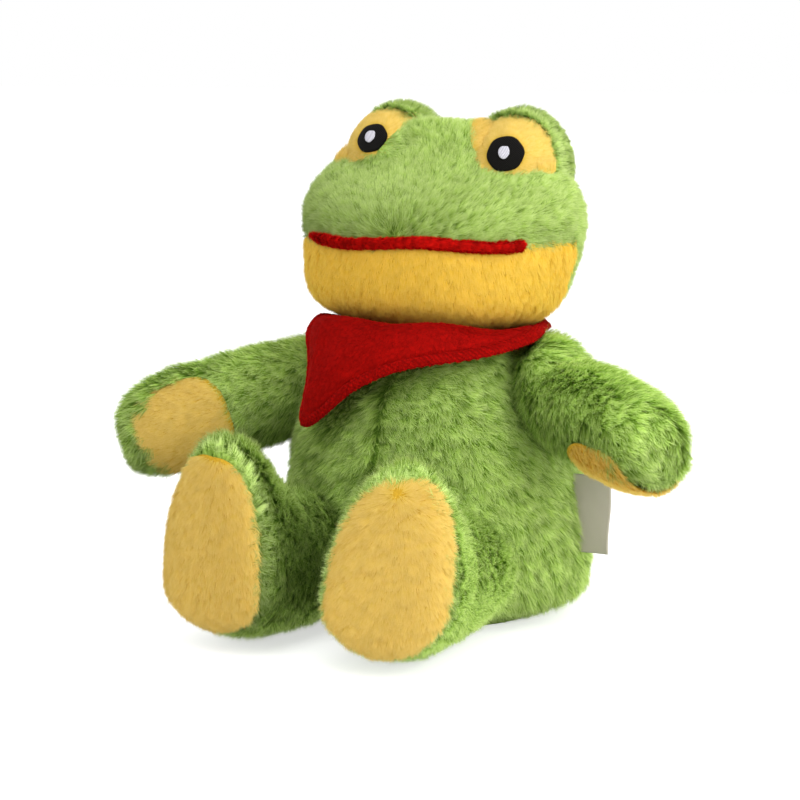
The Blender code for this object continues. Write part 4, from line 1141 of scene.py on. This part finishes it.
# Arms: tapering tubes of green pile that swell to a blunt hand, each with a yellow panel sewn
# into the palm. The pile lies down the arm, and the shoulder end is sewn into the torso.
ARM = {
    "low": 0.0, "length": 0.131, "halves": (0.0270, 0.0255, 0.0255), "blunt": 0.55,
    "rows": (
        # length, side, palm, back
        (0.0, 0.95, 0.95, 0.95),
        (0.20, 1.03, 0.98, 1.08),
        (0.42, 1.05, 1.00, 1.10),
        (0.62, 1.03, 0.99, 1.04),
        (0.80, 1.10, 1.02, 1.06),
        (0.92, 1.16, 1.04, 1.10),
        (1.0, 1.18, 1.04, 1.10),
    ),
}
ARM_TURNS = {"left": (34.0, 13.3, 18.0), "right": (37.0, 17.8, 92.0)}
ARM_SWELL = {
    # share of the length, and how far the filled arm stands above and beyond its plain form
    "left": (
        (0.0, 0.010, 0.0), (0.14, 0.007, 0.0), (0.30, -0.002, 0.0), (0.55, 0.002, 0.0),
        (0.75, 0.005, 0.0), (0.88, 0.004, 0.0), (1.0, 0.0, -0.0045),
    ),
    "right": (
        (0.0, 0.004, 0.0), (0.20, 0.0, 0.0), (0.45, 0.0, 0.0), (0.70, 0.0040, 0.0),
        (0.88, 0.0040, 0.0), (1.0, 0.002, 0.002),
    ),
}
PALM_LOW, PALM_HIGH = 0.075, 0.122
PALM_HALF_WIDTH = 0.0250
PALM_DEPTH = 0.0090
PALM_CORNER = 0.017
PALM_POWER = 0.62
PALM_NARROWEST, PALM_ROWS = 0.02, (0.001, 0.985)
PALM_COLUMNS, PALM_RINGS = 96, 24
ARM_COLUMNS, ARM_RINGS = 72, 84
ARM_PER_SQUARE_METRE = 1.1 * GREEN_PER_SQUARE_METRE
ARM_TOP_FACING = 0.15
ARM_HANG, ARM_PARTED = 0.35, 1.2 * PARTED
ARM_PRESSED_CUT, ARM_PRESSED_WITHIN = 0.6, 0.088
# Green pile is cut back from the palm's seam by place: at the wrist, elsewhere, at the tip.
PALM_WRIST_SPAN, PALM_TIP_SPAN = 0.010, 0.016
PALM_WRIST_GROW, PALM_GROW, PALM_TIP_GROW = 0.001, -0.001, -0.0040
BESIDE_PALM, BESIDE_PALM_SPAN, BESIDE_PALM_CUT = 0.006, 0.014, 0.35
# Painted light: the arm pile is paler where it faces up, and the left arm and palm are paler and the
# right ones darker, as the key lamp on the toy's left lights them.
ARM_TOP_PAINTED_LIGHT, ARM_SIDE_PAINTED_LIGHT = 0.36, {"left": 0.16, "right": -0.12}
PALM_SIDE_PAINTED_LIGHT = {"left": 0.15, "right": -0.25}


def arm_matrix(name, side):
    """Placement of an arm: Z along it from the shoulder, -Y through the palm."""
    forward, drop, twist = (math.radians(value) for value in ARM_TURNS[name])
    along = Vector((
        side * math.cos(forward) * math.cos(drop), -math.sin(forward) * math.cos(drop),
        -math.sin(drop),
    ))
    upward = Vector((0.0, 0.0, 1.0))
    palm = -(upward - along * along.dot(upward)).normalized()
    palm.rotate(Matrix.Rotation(-twist * side, 3, along))
    matrix = Matrix(((-palm).cross(along), -palm, along)).transposed().to_4x4()
    matrix.translation = Vector(joints[f"arm_{name}_swing"]["pos_m"])
    return matrix


def in_palm(points, grow):
    """Whether places on the arm belong to the palm panel, a rounded oblong in the arm's frame."""
    half_long = (PALM_HIGH - PALM_LOW) / 2
    x = np.abs(points[:, 0]) - (PALM_HALF_WIDTH - PALM_CORNER)
    z = np.abs(points[:, 2] - (PALM_LOW + PALM_HIGH) / 2) - (half_long - PALM_CORNER)
    beyond = np.hypot(np.maximum(x, 0), np.maximum(z, 0))
    return (beyond < PALM_CORNER + grow) & (points[:, 1] < -PALM_DEPTH + grow)


for side_name, side in SIDES.items():
    arm_place = arm_matrix(side_name, side)
    form = form_grid(ARM, ARM_COLUMNS, ARM_RINGS)
    form_normals = grid_normals(form)
    share = form[..., 2:] / ARM["length"]
    upward = ramp(turned(form_normals, arm_place)[..., 2:], ARM_TOP_FACING, 1)
    swell = read_rows(share, ARM_SWELL[side_name], 1) * upward
    swell = swell + read_rows(share, ARM_SWELL[side_name], 2)
    skin = form - form_normals * (GREEN_PILE_DEPTH - swell)
    arm = add_surface(f"arm_{side_name}_body", placed(skin, arm_place), green_backing)
    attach(arm, f"arm_{side_name}")
    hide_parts(f"arm_{side_name}")

    roots, normals = scatter(skin, ARM_PER_SQUARE_METRE, 91)
    world_roots = placed(roots, arm_place)
    drawn_back = np.select(
        [roots[:, 2] > PALM_HIGH - PALM_TIP_SPAN, roots[:, 2] < PALM_LOW + PALM_WRIST_SPAN],
        [PALM_TIP_GROW, PALM_WRIST_GROW], PALM_GROW,
    )
    keep = ~in_palm(roots, drawn_back) & ~inside(world_roots, TORSO, -UNDER_TORSO)
    roots, normals, world_roots = roots[keep], turned(normals[keep], arm_place), world_roots[keep]
    beside_palm = in_palm(roots, BESIDE_PALM) & (roots[:, 2] < PALM_HIGH - BESIDE_PALM_SPAN)
    lay = turned(np.array([[0.0, 0.0, 1.0]]), arm_place) - np.array([0.0, 0.0, ARM_HANG])
    near_neck = np.hypot(world_roots[:, 0], world_roots[:, 1]) < ARM_PRESSED_WITHIN
    pressed = under_press(world_roots) * near_neck
    length = (1 - ARM_PRESSED_CUT * pressed) * (1 - BESIDE_PALM_CUT * beside_palm)
    pile = add_pile(
        f"arm_{side_name}_pile", world_roots, normals, lay, green_pile,
        GREEN_PILE_LENGTH * length[:, None], GREEN_PILE_WIDTH, lift=0.5, seed=92,
        shade=ARM_TOP_PAINTED_LIGHT * np.clip(normals[:, 2], -0.5, 1) + ARM_SIDE_PAINTED_LIGHT[side_name],
        parted=ARM_PARTED,
    )
    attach(pile, f"arm_{side_name}")

    share = np.linspace(0, 1, PALM_RINGS)[:, None]
    a = np.linspace(0, 2 * np.pi, PALM_COLUMNS + 1)[None, :]
    x = PALM_HALF_WIDTH * share * np.sign(np.cos(a)) * np.abs(np.cos(a)) ** PALM_POWER
    z = np.sign(np.sin(a)) * np.abs(np.sin(a)) ** PALM_POWER
    z = (PALM_HIGH - PALM_LOW) / 2 * share * z + (PALM_LOW + PALM_HIGH) / 2
    row = np.clip(z / ARM["length"], *PALM_ROWS)
    end = (4 * row * (1 - row)) ** (ARM["blunt"] / 2)
    half_side = ARM["halves"][0] * read_rows(row, ARM["rows"], 1) * end
    half_palm = ARM["halves"][1] * read_rows(row, ARM["rows"], 2) * end
    y = -half_palm * np.sqrt(np.maximum(1 - (x / half_side) ** 2, PALM_NARROWEST))
    palm_form = np.stack([x, y, np.minimum(z, ARM["length"] * PALM_ROWS[1])], axis=-1)
    palm_normals = grid_normals(palm_form)
    palm_normals = palm_normals * np.sign(-palm_normals[..., 1:2].mean())
    palm_skin = palm_form - palm_normals * YELLOW_PILE_DEPTH
    palm = add_surface(
        f"palm_{side_name}_panel", placed(palm_skin, arm_place), yellow_backing, PANEL_THICKNESS
    )
    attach(palm, f"arm_{side_name}")
    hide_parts(f"palm_{side_name}")
    roots, normals = scatter(palm_skin, YELLOW_PER_SQUARE_METRE, 93)
    normals = normals * np.sign(-normals[:, 1:2].mean())
    lay = np.array([[0.0, 0.0, 1.0]])
    pile = add_pile(
        f"palm_{side_name}_pile", roots, normals, lay, sheen_painted_pile, YELLOW_PILE_LENGTH,
        YELLOW_PILE_WIDTH, lift=0.4, seed=94, place=arm_place, clump=0.15, ragged=0.15,
        relief=0.06, vary=0.1, bare=0.4, shade=PALM_SIDE_PAINTED_LIGHT[side_name],
    )
    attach(pile, f"arm_{side_name}")

# Legs: stuffed tubes of green pile that turn up into upright feet, with an oval yellow sole
# panel sewn into the front of each. The green pile at the rim stands forward over the seam.
LEG_ROWS = (
    # length, side, upper, under
    (0.0, 0.95, 0.98, 0.96),
    (0.20, 0.96, 1.00, 0.98),
    (0.42, 0.93, 1.02, 0.97),
    (0.58, 0.94, 1.16, 0.97),
    (0.70, 1.00, 1.60, 0.98),
    (0.80, 1.09, 2.04, 0.99),
    (0.90, 1.17, 2.32, 0.94),
    (1.0, 1.29, 2.54, 0.80),
)
LEG_LENGTH = 0.128
LEG_HALVES, LEG_BLUNT = (0.0350, 0.0360), 0.34
LEGS = {
    # splay, toe out, lean and height of the foot
    "left": (2.0, 6.0, 0.42, 0.90),
    "right": (9.0, 6.0, 0.06, 1.03),
}
SOLE_PLANE = 0.120
SOLE_PILE_LENGTH = 0.0070
SOLE_PILE_DEPTH = 0.0030
RIM_SHARES = {
    # share of the way from seam to middle that green pile covers: above, outside, inside,
    # below, and how far it draws back at the outer top corner
    "left": (0.23, 0.10, 0.09, 0.03, 0.0),
    "right": (0.19, 0.03, 0.03, 0.03, 0.6),
}
SEAM_MARGIN, LEAN_ROUNDS = 0.0005, 4
RIM_DEPTH, RIM_POWER = 0.0070, 5
RIM_STARTS, RIM_ENDS = 1.3 * RIM_DEPTH, 0.3 * RIM_DEPTH
RIM_SPREAD, RIM_BACK_LEAN, RIM_CUT = 1.2, -0.3, 0.22
# Behind the rim the pile parts in a valley, shorter and with painted shade, before it lies along the
# leg.
VALLEY_AT, VALLEY_SPREAD, VALLEY_CUT, VALLEY_PAINTED_SHADE = 1.5 * RIM_DEPTH, 0.0035, 0.35, -0.30
# Painted light and shade: the rim's pile is paler where it faces up and darker at its sides, most on
# the right foot, and the left leg is paler and the right one darker, as the key lamp on the toy's
# left lights them.
RIM_PAINTED_SHADE, RIM_TOP_PAINTED_LIGHT, RIM_SIDE_PAINTED_SHADE = -0.10, 0.58, {"left": 0.0, "right": -0.30}
LEG_SIDE_PAINTED_LIGHT = {"left": 0.23, "right": -0.11}
RIM_CENTRE_RISE = 0.25
HEEL_TUCK, HEEL_STARTS, HEEL_ENDS, HEEL_UNDER = 0.004, 0.7, 0.9, 0.3
LEG_COLUMNS, LEG_RINGS = 84, 100
SOLE_COLUMNS, SOLE_RINGS, LEG_ARC_STEPS = 120, 40, 600
LEG_PER_SQUARE_METRE = 1.05 * GREEN_PER_SQUARE_METRE
SOLE_PER_SQUARE_METRE, SOLE_PILE_WIDTH = 1.3 * YELLOW_PER_SQUARE_METRE, 1.1 * YELLOW_PILE_WIDTH
SOLE_CROWN_RISE, SOLE_CROWN_BACK, SOLE_FAN = 1.05, 0.9, 0.8


def leg_matrix(name, side):
    """Placement of a leg: Z forward from the hip, -Y up."""
    splay = math.radians(LEGS[name][0])
    forward = Vector((side * math.sin(splay), -math.cos(splay), 0.0))
    upward = Vector((0.0, 0.0, 1.0))
    matrix = Matrix((forward.cross(upward), -upward, forward)).transposed().to_4x4()
    matrix.translation = Vector(joints[f"leg_{name}_splay"]["pos_m"])
    return matrix


def leant(points, lean):
    """The foot's lean: what is high moves towards the hip, most at the sole."""
    reach = np.clip(points[..., 2] / LEG_LENGTH, 0, 1)
    moved = points.copy()
    moved[..., 2] += lean * points[..., 1] * reach ** 2
    return moved


for side_name, side in SIDES.items():
    _, toe_out, lean, height = LEGS[side_name]
    leg_place = leg_matrix(side_name, side)
    leg_form = {
        "low": 0.0, "length": LEG_LENGTH, "blunt": LEG_BLUNT, "rows": LEG_ROWS,
        "halves": (LEG_HALVES[0], LEG_HALVES[1] * height, LEG_HALVES[1]),
    }
    form = leant(form_grid(leg_form, LEG_COLUMNS, LEG_RINGS), lean)
    under = ramp(form[..., 1:2] / leg_form["halves"][2], HEEL_UNDER, HEEL_UNDER + 1)
    under = under * ramp(form[..., 2:] / LEG_LENGTH, HEEL_STARTS, HEEL_ENDS)
    skin = form - grid_normals(form) * (GREEN_PILE_DEPTH + HEEL_TUCK * under)
    leg = add_surface(f"leg_{side_name}_body", placed(skin, leg_place), green_backing)
    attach(leg, f"leg_{side_name}")
    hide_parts(f"leg_{side_name}")

    slope = lean * (SOLE_PLANE / LEG_LENGTH) ** 2
    sole_place = (
        Matrix.Translation((0.0, 0.0, SOLE_PLANE))
        @ Matrix.Rotation(math.radians(-toe_out * side), 4, "Y")
        @ Matrix.Rotation(math.atan(slope), 4, "X")
    )
    around = np.linspace(0, 2 * np.pi, SOLE_COLUMNS + 1)
    rises, arcs = even_rises(leg_form, LEG_ARC_STEPS), np.linspace(0, 1, LEG_ARC_STEPS)
    full = leant(form_points(leg_form, around[None, :], rises[:, None]), lean)
    arc_length = np.sum(np.linalg.norm(np.diff(full[:, 0], axis=0), axis=1))
    half = LEG_ARC_STEPS // 2
    over = placed(full, sole_place.inverted())[half:, :, 2]
    seam_rise = np.array([np.interp(0.0, column, rises[half:]) for column in over.T])
    above, outside, within, below, corner = RIM_SHARES[side_name]
    across, upright = np.cos(around) * side, -np.sin(around)
    above = above * (1 - corner * np.clip(across, 0, 1))
    rim = np.where(upright > 0, above, below) * np.abs(upright) ** RIM_POWER
    rim = rim + np.where(across > 0, outside, within) * np.abs(across) ** RIM_POWER
    edge_arc = np.interp(seam_rise, rises, arcs)
    edge_arc = edge_arc + (1 - edge_arc) * rim

    # The rim is found by carrying each root back to the form before its lean, in a few rounds.
    roots, normals = scatter(skin, LEG_PER_SQUARE_METRE, 101)
    world_roots = placed(roots, leg_place)
    flat = roots + normals * GREEN_PILE_DEPTH
    height_along = flat[:, 2].copy()
    for _ in range(LEAN_ROUNDS):
        reach = np.clip(height_along / LEG_LENGTH, 0, 1)
        height_along = flat[:, 2] - lean * flat[:, 1] * reach ** 2
    share = np.clip(height_along / LEG_LENGTH, 0, 1)
    depth = np.where(
        flat[:, 1] < 0, leg_form["halves"][1] * read_rows(share, LEG_ROWS, 2),
        leg_form["halves"][2] * read_rows(share, LEG_ROWS, 3),
    )
    wide = leg_form["halves"][0] * read_rows(share, LEG_ROWS, 1)
    turn = np.arctan2(flat[:, 1] / depth, flat[:, 0] / wide) % (2 * np.pi)
    behind = np.interp(turn, around, edge_arc) - np.interp(np.arcsin(2 * share - 1), rises, arcs)
    behind = behind * arc_length
    keep = (behind > -SEAM_MARGIN) & ~inside(world_roots, TORSO, -UNDER_TORSO)
    roots, normals, behind = roots[keep], normals[keep], behind[keep]
    rim = ramp(behind, RIM_STARTS, RIM_ENDS)[:, None]
    valley = hump(behind, VALLEY_AT, VALLEY_SPREAD)
    centre = np.array([0.0, -RIM_CENTRE_RISE * depth.max(), LEG_LENGTH])
    outward = unit((roots - centre) * np.array([1.0, 1.0, 0.0]))
    along = np.array([0.0, 0.0, 1.0])
    lay = along * (1 - rim) + rim * (outward * RIM_SPREAD + along * RIM_BACK_LEAN)
    length = GREEN_PILE_LENGTH * (1 - RIM_CUT * rim) * (1 - VALLEY_CUT * valley[:, None])
    upright = np.clip(outward @ np.array(leg_place)[2, :3], 0, 1)
    rim_painted_light_and_shade = RIM_PAINTED_SHADE + RIM_TOP_PAINTED_LIGHT * upright + RIM_SIDE_PAINTED_SHADE[side_name] * (1 - upright)
    pile = add_pile(
        f"leg_{side_name}_pile", roots, normals, lay, green_pile, length, GREEN_PILE_WIDTH,
        lift=0.5, seed=102, place=leg_place, vary=0.15, bare=0.05 + 0.40 * rim, relief=0.36,
        parted=PARTED, shade=LEG_SIDE_PAINTED_LIGHT[side_name] + rim[:, 0] * rim_painted_light_and_shade + VALLEY_PAINTED_SHADE * valley,
    )
    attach(pile, f"leg_{side_name}")

    steps = np.interp(edge_arc + (1 - edge_arc) * np.linspace(0, 1, SOLE_RINGS)[:, None], arcs, rises)
    sole_form = leant(form_points(leg_form, around[None, :], steps), lean)
    sole_normals = grid_normals(sole_form)
    sole_normals = sole_normals * np.sign(sole_normals[..., 2:].mean())
    sole_skin = sole_form - sole_normals * SOLE_PILE_DEPTH
    sole = add_surface(
        f"sole_{side_name}_panel", placed(sole_skin, leg_place), yellow_backing, PANEL_THICKNESS
    )
    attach(sole, f"leg_{side_name}")
    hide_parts(f"sole_{side_name}")

    roots, normals = scatter(sole_skin, SOLE_PER_SQUARE_METRE, 103)
    normals = normals * np.sign(normals[:, 2:].mean())
    crown = (0.0, roots[:, 1].min() * SOLE_CROWN_RISE, LEG_LENGTH * SOLE_CROWN_BACK)
    lay = roots - np.array(crown)
    lay[:, 0] *= SOLE_FAN
    pile = add_pile(
        f"sole_{side_name}_pile", roots, normals, lay, sheen_painted_pile, SOLE_PILE_LENGTH,
        SOLE_PILE_WIDTH, lift=0.35, seed=104, place=leg_place, clump=0.15, ragged=0.14,
        relief=0.06, vary=0.09, bare=0.4, shade=-0.08,
    )
    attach(pile, f"leg_{side_name}")

# Neckerchief: a triangle of red short-nap polyester with a hem turned under and stitched 5 mm
# from the edge, wrapped round the neck and knotted behind, its point hanging over the chest.
HEM_WIDTH = 0.0050
CLOTH_THICKNESS = 0.0016
CLOTH_COLUMNS, CLOTH_STEPS = 420, 60
# The hem is a raised band with fine ribs across it, and a stitched groove along its inner side.
HEM_RAISED, HEM_SHARE, HEM_FADE = 0.0011, 0.55, 0.0008
RIB_PITCH, RIB_HEIGHT, RIB_SLANT = 0.0024, 0.00055, 1.2
GROOVE_DEPTH, GROOVE_OFFSET, GROOVE_SPREAD, STITCH_SPREAD = 0.0012, 0.0004, 0.0008, 0.0007
# Each lift or sink of the cloth: how far, then the angle or share of the profile, and spread.
FRONT_LIFT, FRONT_AT, FRONT_SPREAD, FRONT_POWER = 0.0040, -8, 48.0, 4
FRONT_COVER, FRONT_COVER_SPREAD = 0.36, 0.16
RIGHT_LIFT, RIGHT_AT, RIGHT_SPREAD, RIGHT_COVER = 0.0030, -38, 16.0, 0.35
TURNED_IN, TURNED_IN_STARTS, TURNED_IN_ENDS, TURNED_IN_COVER = 0.0150, -30, -46, 0.2
DRAWN_IN, DRAWN_DOWN, DRAWN_MIDDLE, DRAWN_STARTS, DRAWN_ENDS = 0.0030, 0.0020, 5, 56, 76
FOLD_HEIGHT, FOLDS_ROUND, FOLDS_DOWN, FOLD_COVER = 0.0010, 7, 12, 0.4
PLEAT_HEIGHT, PLEAT_AT, PLEAT_SLANT, PLEAT_SPREAD = 0.0016, -50, -20, 7.0
PLEAT_STARTS, PLEAT_ENDS = 1.5 / 1.8, 0.5 / 1.8
NAP_PER_SQUARE_METRE, NAP_WIDTH, NAP_TUFT = 11.0e6, 0.00042, 0.0022
NAP_LAY = (-0.6, 0.0, -1.0)
NAP_LENGTH, NAP_STITCH_CUT, NAP_EDGE_CUT, NAP_EDGE, NAP_HEM_CUT = 0.0017, 0.0011, 0.0009, 0.002, 0.4
# Painted shade in the stitched groove, painted light and shade on the hem's ribs, and a painted
# shadow of the head along the cloth's top.
STITCH_PAINTED_SHADE, RIB_PAINTED_LIGHT_AND_SHADE, CLOTH_CHIN_PAINTED_SHADOW = -0.45, 0.45, -0.12
CHIN_LINE_HEIGHT, CHIN_LINE_SPREAD = 0.158, 0.006


def ribs_at(to_edge, along_edge):
    """The hem's ribs: a slanting sine along the edge that fades out at the hem's inner side."""
    wave = np.sin((along_edge + RIB_SLANT * to_edge) * 2 * np.pi / RIB_PITCH)
    return wave * ramp(to_edge, HEM_WIDTH, HEM_WIDTH - HEM_FADE)


column_place = np.linspace(0, len(CLOTH_EDGE) - 1, CLOTH_COLUMNS + 1)
degrees = np.interp(column_place, np.arange(len(CLOTH_EDGE)), [row[0] for row in CLOTH_EDGE])
edge = read_rows(degrees, CLOTH_EDGE, 1)
cover = edge[None, :] * np.linspace(0, 1, CLOTH_STEPS)[:, None]
radius = CLOTH_REACH * read_rows(cover, CLOTH_ROWS, 1)
height = CLOTH_TOP - CLOTH_DROP * read_rows(cover, CLOTH_ROWS, 2)
degrees = degrees[None, :]
angle = np.radians(degrees)
front = np.exp(-((degrees - FRONT_AT) / FRONT_SPREAD) ** FRONT_POWER)
height = height + FRONT_LIFT * front * hump(cover, FRONT_COVER, FRONT_COVER_SPREAD)
height = height + RIGHT_LIFT * hump(degrees, RIGHT_AT, RIGHT_SPREAD) * ramp(cover, RIGHT_COVER, 0)
turned_in = ramp(degrees, TURNED_IN_STARTS, TURNED_IN_ENDS)
radius = radius - TURNED_IN * turned_in * np.clip(cover - TURNED_IN_COVER, 0, 1)
drawn = ramp(np.abs(degrees - DRAWN_MIDDLE), DRAWN_STARTS, DRAWN_ENDS) * cover / edge[None, :]
radius = radius - DRAWN_IN * drawn
height = height - DRAWN_DOWN * drawn
cloth_points = np.stack([radius * np.sin(angle), -radius * np.cos(angle), height], axis=-1)
cloth_normals = grid_normals(cloth_points)
cloth_normals = cloth_normals * np.sign(np.sum(cloth_normals[..., 2]))
edge_points = cloth_points[-1]
gaps = cloth_points.reshape(-1, 1, 3) - edge_points[None]
nearest = np.argmin(np.sum(gaps ** 2, axis=-1), axis=1)
to_edge = np.linalg.norm(gaps[np.arange(len(gaps)), nearest], axis=-1).reshape(radius.shape)
run = np.concatenate(([0], np.cumsum(np.linalg.norm(np.diff(edge_points, axis=0), axis=1))))
along_edge = run[nearest].reshape(radius.shape)
hem = np.clip(1 - ((to_edge - HEM_WIDTH / 2) / (HEM_WIDTH * HEM_SHARE)) ** 2, 0, 1)
groove = hump(to_edge, HEM_WIDTH + GROOVE_OFFSET, GROOVE_SPREAD)
fold = np.sin(angle * FOLDS_ROUND + cover * FOLDS_DOWN) * ramp(cover, 0, FOLD_COVER)
pleat = hump(degrees, PLEAT_AT + PLEAT_SLANT * cover, PLEAT_SPREAD)
relief = HEM_RAISED * hem + RIB_HEIGHT * ribs_at(to_edge, along_edge) - GROOVE_DEPTH * groove
relief = relief + FOLD_HEIGHT * fold
relief = relief + PLEAT_HEIGHT * pleat * ramp(cover, PLEAT_STARTS, PLEAT_ENDS)
cloth_points = cloth_points + cloth_normals * relief[..., None]
cloth = add_surface("neckerchief_cloth", cloth_points, red_backing, CLOTH_THICKNESS)
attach(cloth, "neckerchief")
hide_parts("neckerchief")

hem_fields = np.stack([to_edge, along_edge], axis=-1)
roots, normals, places = scatter(cloth_points, NAP_PER_SQUARE_METRE, 111, hem_fields)
normals = normals * np.sign(np.sum(normals[:, 2]))
roots = roots + normals * CLOTH_THICKNESS / 2
to_edge, along_edge = places.T
stitch = hump(to_edge, HEM_WIDTH + GROOVE_OFFSET, STITCH_SPREAD)
length = NAP_LENGTH - NAP_STITCH_CUT * stitch - NAP_EDGE_CUT * ramp(to_edge, NAP_EDGE, 0)
length = length * (1 - NAP_HEM_CUT * ramp(to_edge, HEM_WIDTH, HEM_WIDTH - HEM_FADE))
lay = np.array([NAP_LAY])
shade = STITCH_PAINTED_SHADE * stitch + RIB_PAINTED_LIGHT_AND_SHADE * ribs_at(to_edge, along_edge)
shade = shade + CLOTH_CHIN_PAINTED_SHADOW * hump(roots[:, 2], CHIN_LINE_HEIGHT, CHIN_LINE_SPREAD)
nap = add_pile(
    "neckerchief_nap", roots, normals, lay, red_nap, length[:, None], NAP_WIDTH, lift=0.3,
    seed=112, clump=0.4, ragged=0.3, tuft=NAP_TUFT, vary=0.12, bare=0.2, relief=0.15, shade=shade,
)
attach(nap, "neckerchief")

# The knot is an oval roll with one turn of cloth drawn tight round its middle.
KNOT_HALVES = np.array([0.0110, 0.0075, 0.0080])
KNOT_WAIST, KNOT_WAIST_SPREAD = 0.16, 0.22
KNOT_COLUMNS, KNOT_RINGS = 96, 60
KNOT_CREASE, KNOT_CREASE_TURNS = 0.0005, 1500
knot_low, knot_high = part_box("neckerchief_knot")
knot_centre = np.array((knot_low + knot_high) / 2)
knot_points = ellipsoid_grid(np.zeros(3), np.ones(3), KNOT_COLUMNS, KNOT_RINGS)
wrap = hump(knot_points[..., :1], 0, KNOT_WAIST_SPREAD) * (knot_points[..., 1:2] > 0)
knot_points = knot_centre + knot_points * KNOT_HALVES * (1 - KNOT_WAIST * wrap)
creases = KNOT_CREASE * np.sin(knot_points[..., :1] * KNOT_CREASE_TURNS)
knot_points = knot_points + grid_normals(knot_points) * creases
knot = add_surface("neckerchief_knot_roll", knot_points, red_backing)
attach(knot, "neckerchief")
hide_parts("neckerchief_knot")
roots, normals = scatter(knot_points, NAP_PER_SQUARE_METRE, 113)
lay = np.array([[1.0, 0.0, 0.0]])
nap = add_pile(
    "knot_nap", roots, normals, lay, red_nap, NAP_LENGTH, NAP_WIDTH, lift=0.35, seed=114,
    clump=0.5, ragged=0.35, tuft=NAP_TUFT,
)
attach(nap, "neckerchief")

# Side label: a bare grey-beige satin ribbon folded double, its cut ends caught in the left side
# seam and the fold standing out.
label_low, label_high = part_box("side_label")
LABEL_SEWN_IN, LABEL_SHORT = 0.0012, 0.0006
LABEL_THICKNESS = 0.00035
SATIN_PITCH = 0.0005
LABEL_ROWS, LABEL_COLUMNS, FOLD_COLUMNS = 60, 26, 13
FOLD_RADIUS = 0.0005
LABEL_SWAY, LABEL_SWAY_TURNS, LABEL_CURL, LABEL_CURL_TURNS = 0.0016, (3.0, -0.6), 0.0004, 7
SATIN_HEXES, SATIN_ROUGHNESS, SATIN_SHEEN = ("A09A8A", "BCB6A6"), 0.42, 0.2
reach = label_high.x - LABEL_SHORT
start = label_low.x - LABEL_SEWN_IN
turn = np.linspace(-np.pi / 2, np.pi / 2, FOLD_COLUMNS)
wing = np.linspace(start, reach - FOLD_RADIUS, LABEL_COLUMNS)
gap = np.full(LABEL_COLUMNS, FOLD_RADIUS)
loop_x = np.concatenate([wing, reach - FOLD_RADIUS + FOLD_RADIUS * np.cos(turn), wing[::-1]])
loop_y = np.concatenate([-gap, FOLD_RADIUS * np.sin(turn), gap])
up_share = np.linspace(0, 1, LABEL_ROWS)[:, None]
out_share = (loop_x - start) / (reach - start)
label_points = np.stack([
    loop_x - LABEL_CURL * np.sin(up_share * LABEL_CURL_TURNS) * out_share,
    loop_y + LABEL_SWAY * out_share ** 2 * np.sin(np.polyval(LABEL_SWAY_TURNS, up_share)),
    label_low.z + (label_high.z - label_low.z) * up_share + 0 * loop_x,
], axis=-1)
satin, tree, shader = new_look("polyester_satin_ribbon", SATIN_ROUGHNESS, 0.5)
shader.inputs["Sheen Weight"].default_value = SATIN_SHEEN
where = add_node(tree, "ShaderNodeTexCoord")
weft = add_node(
    tree, "ShaderNodeTexWave",
    {"Vector": where.outputs["Object"], "Scale": WAVE_SCALE / SATIN_PITCH, "Distortion": 0.6},
    bands_direction="Z",
)
# The darker of the two satin colours fills the gaps between weft threads: painted shade.
weave(tree, shader, weft, linear(SATIN_HEXES[0]), linear(SATIN_HEXES[1]), SATIN_PITCH / 3)
label = add_surface("side_label_ribbon", label_points, satin, LABEL_THICKNESS)
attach(label, "label")
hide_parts("side_label")

low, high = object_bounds()
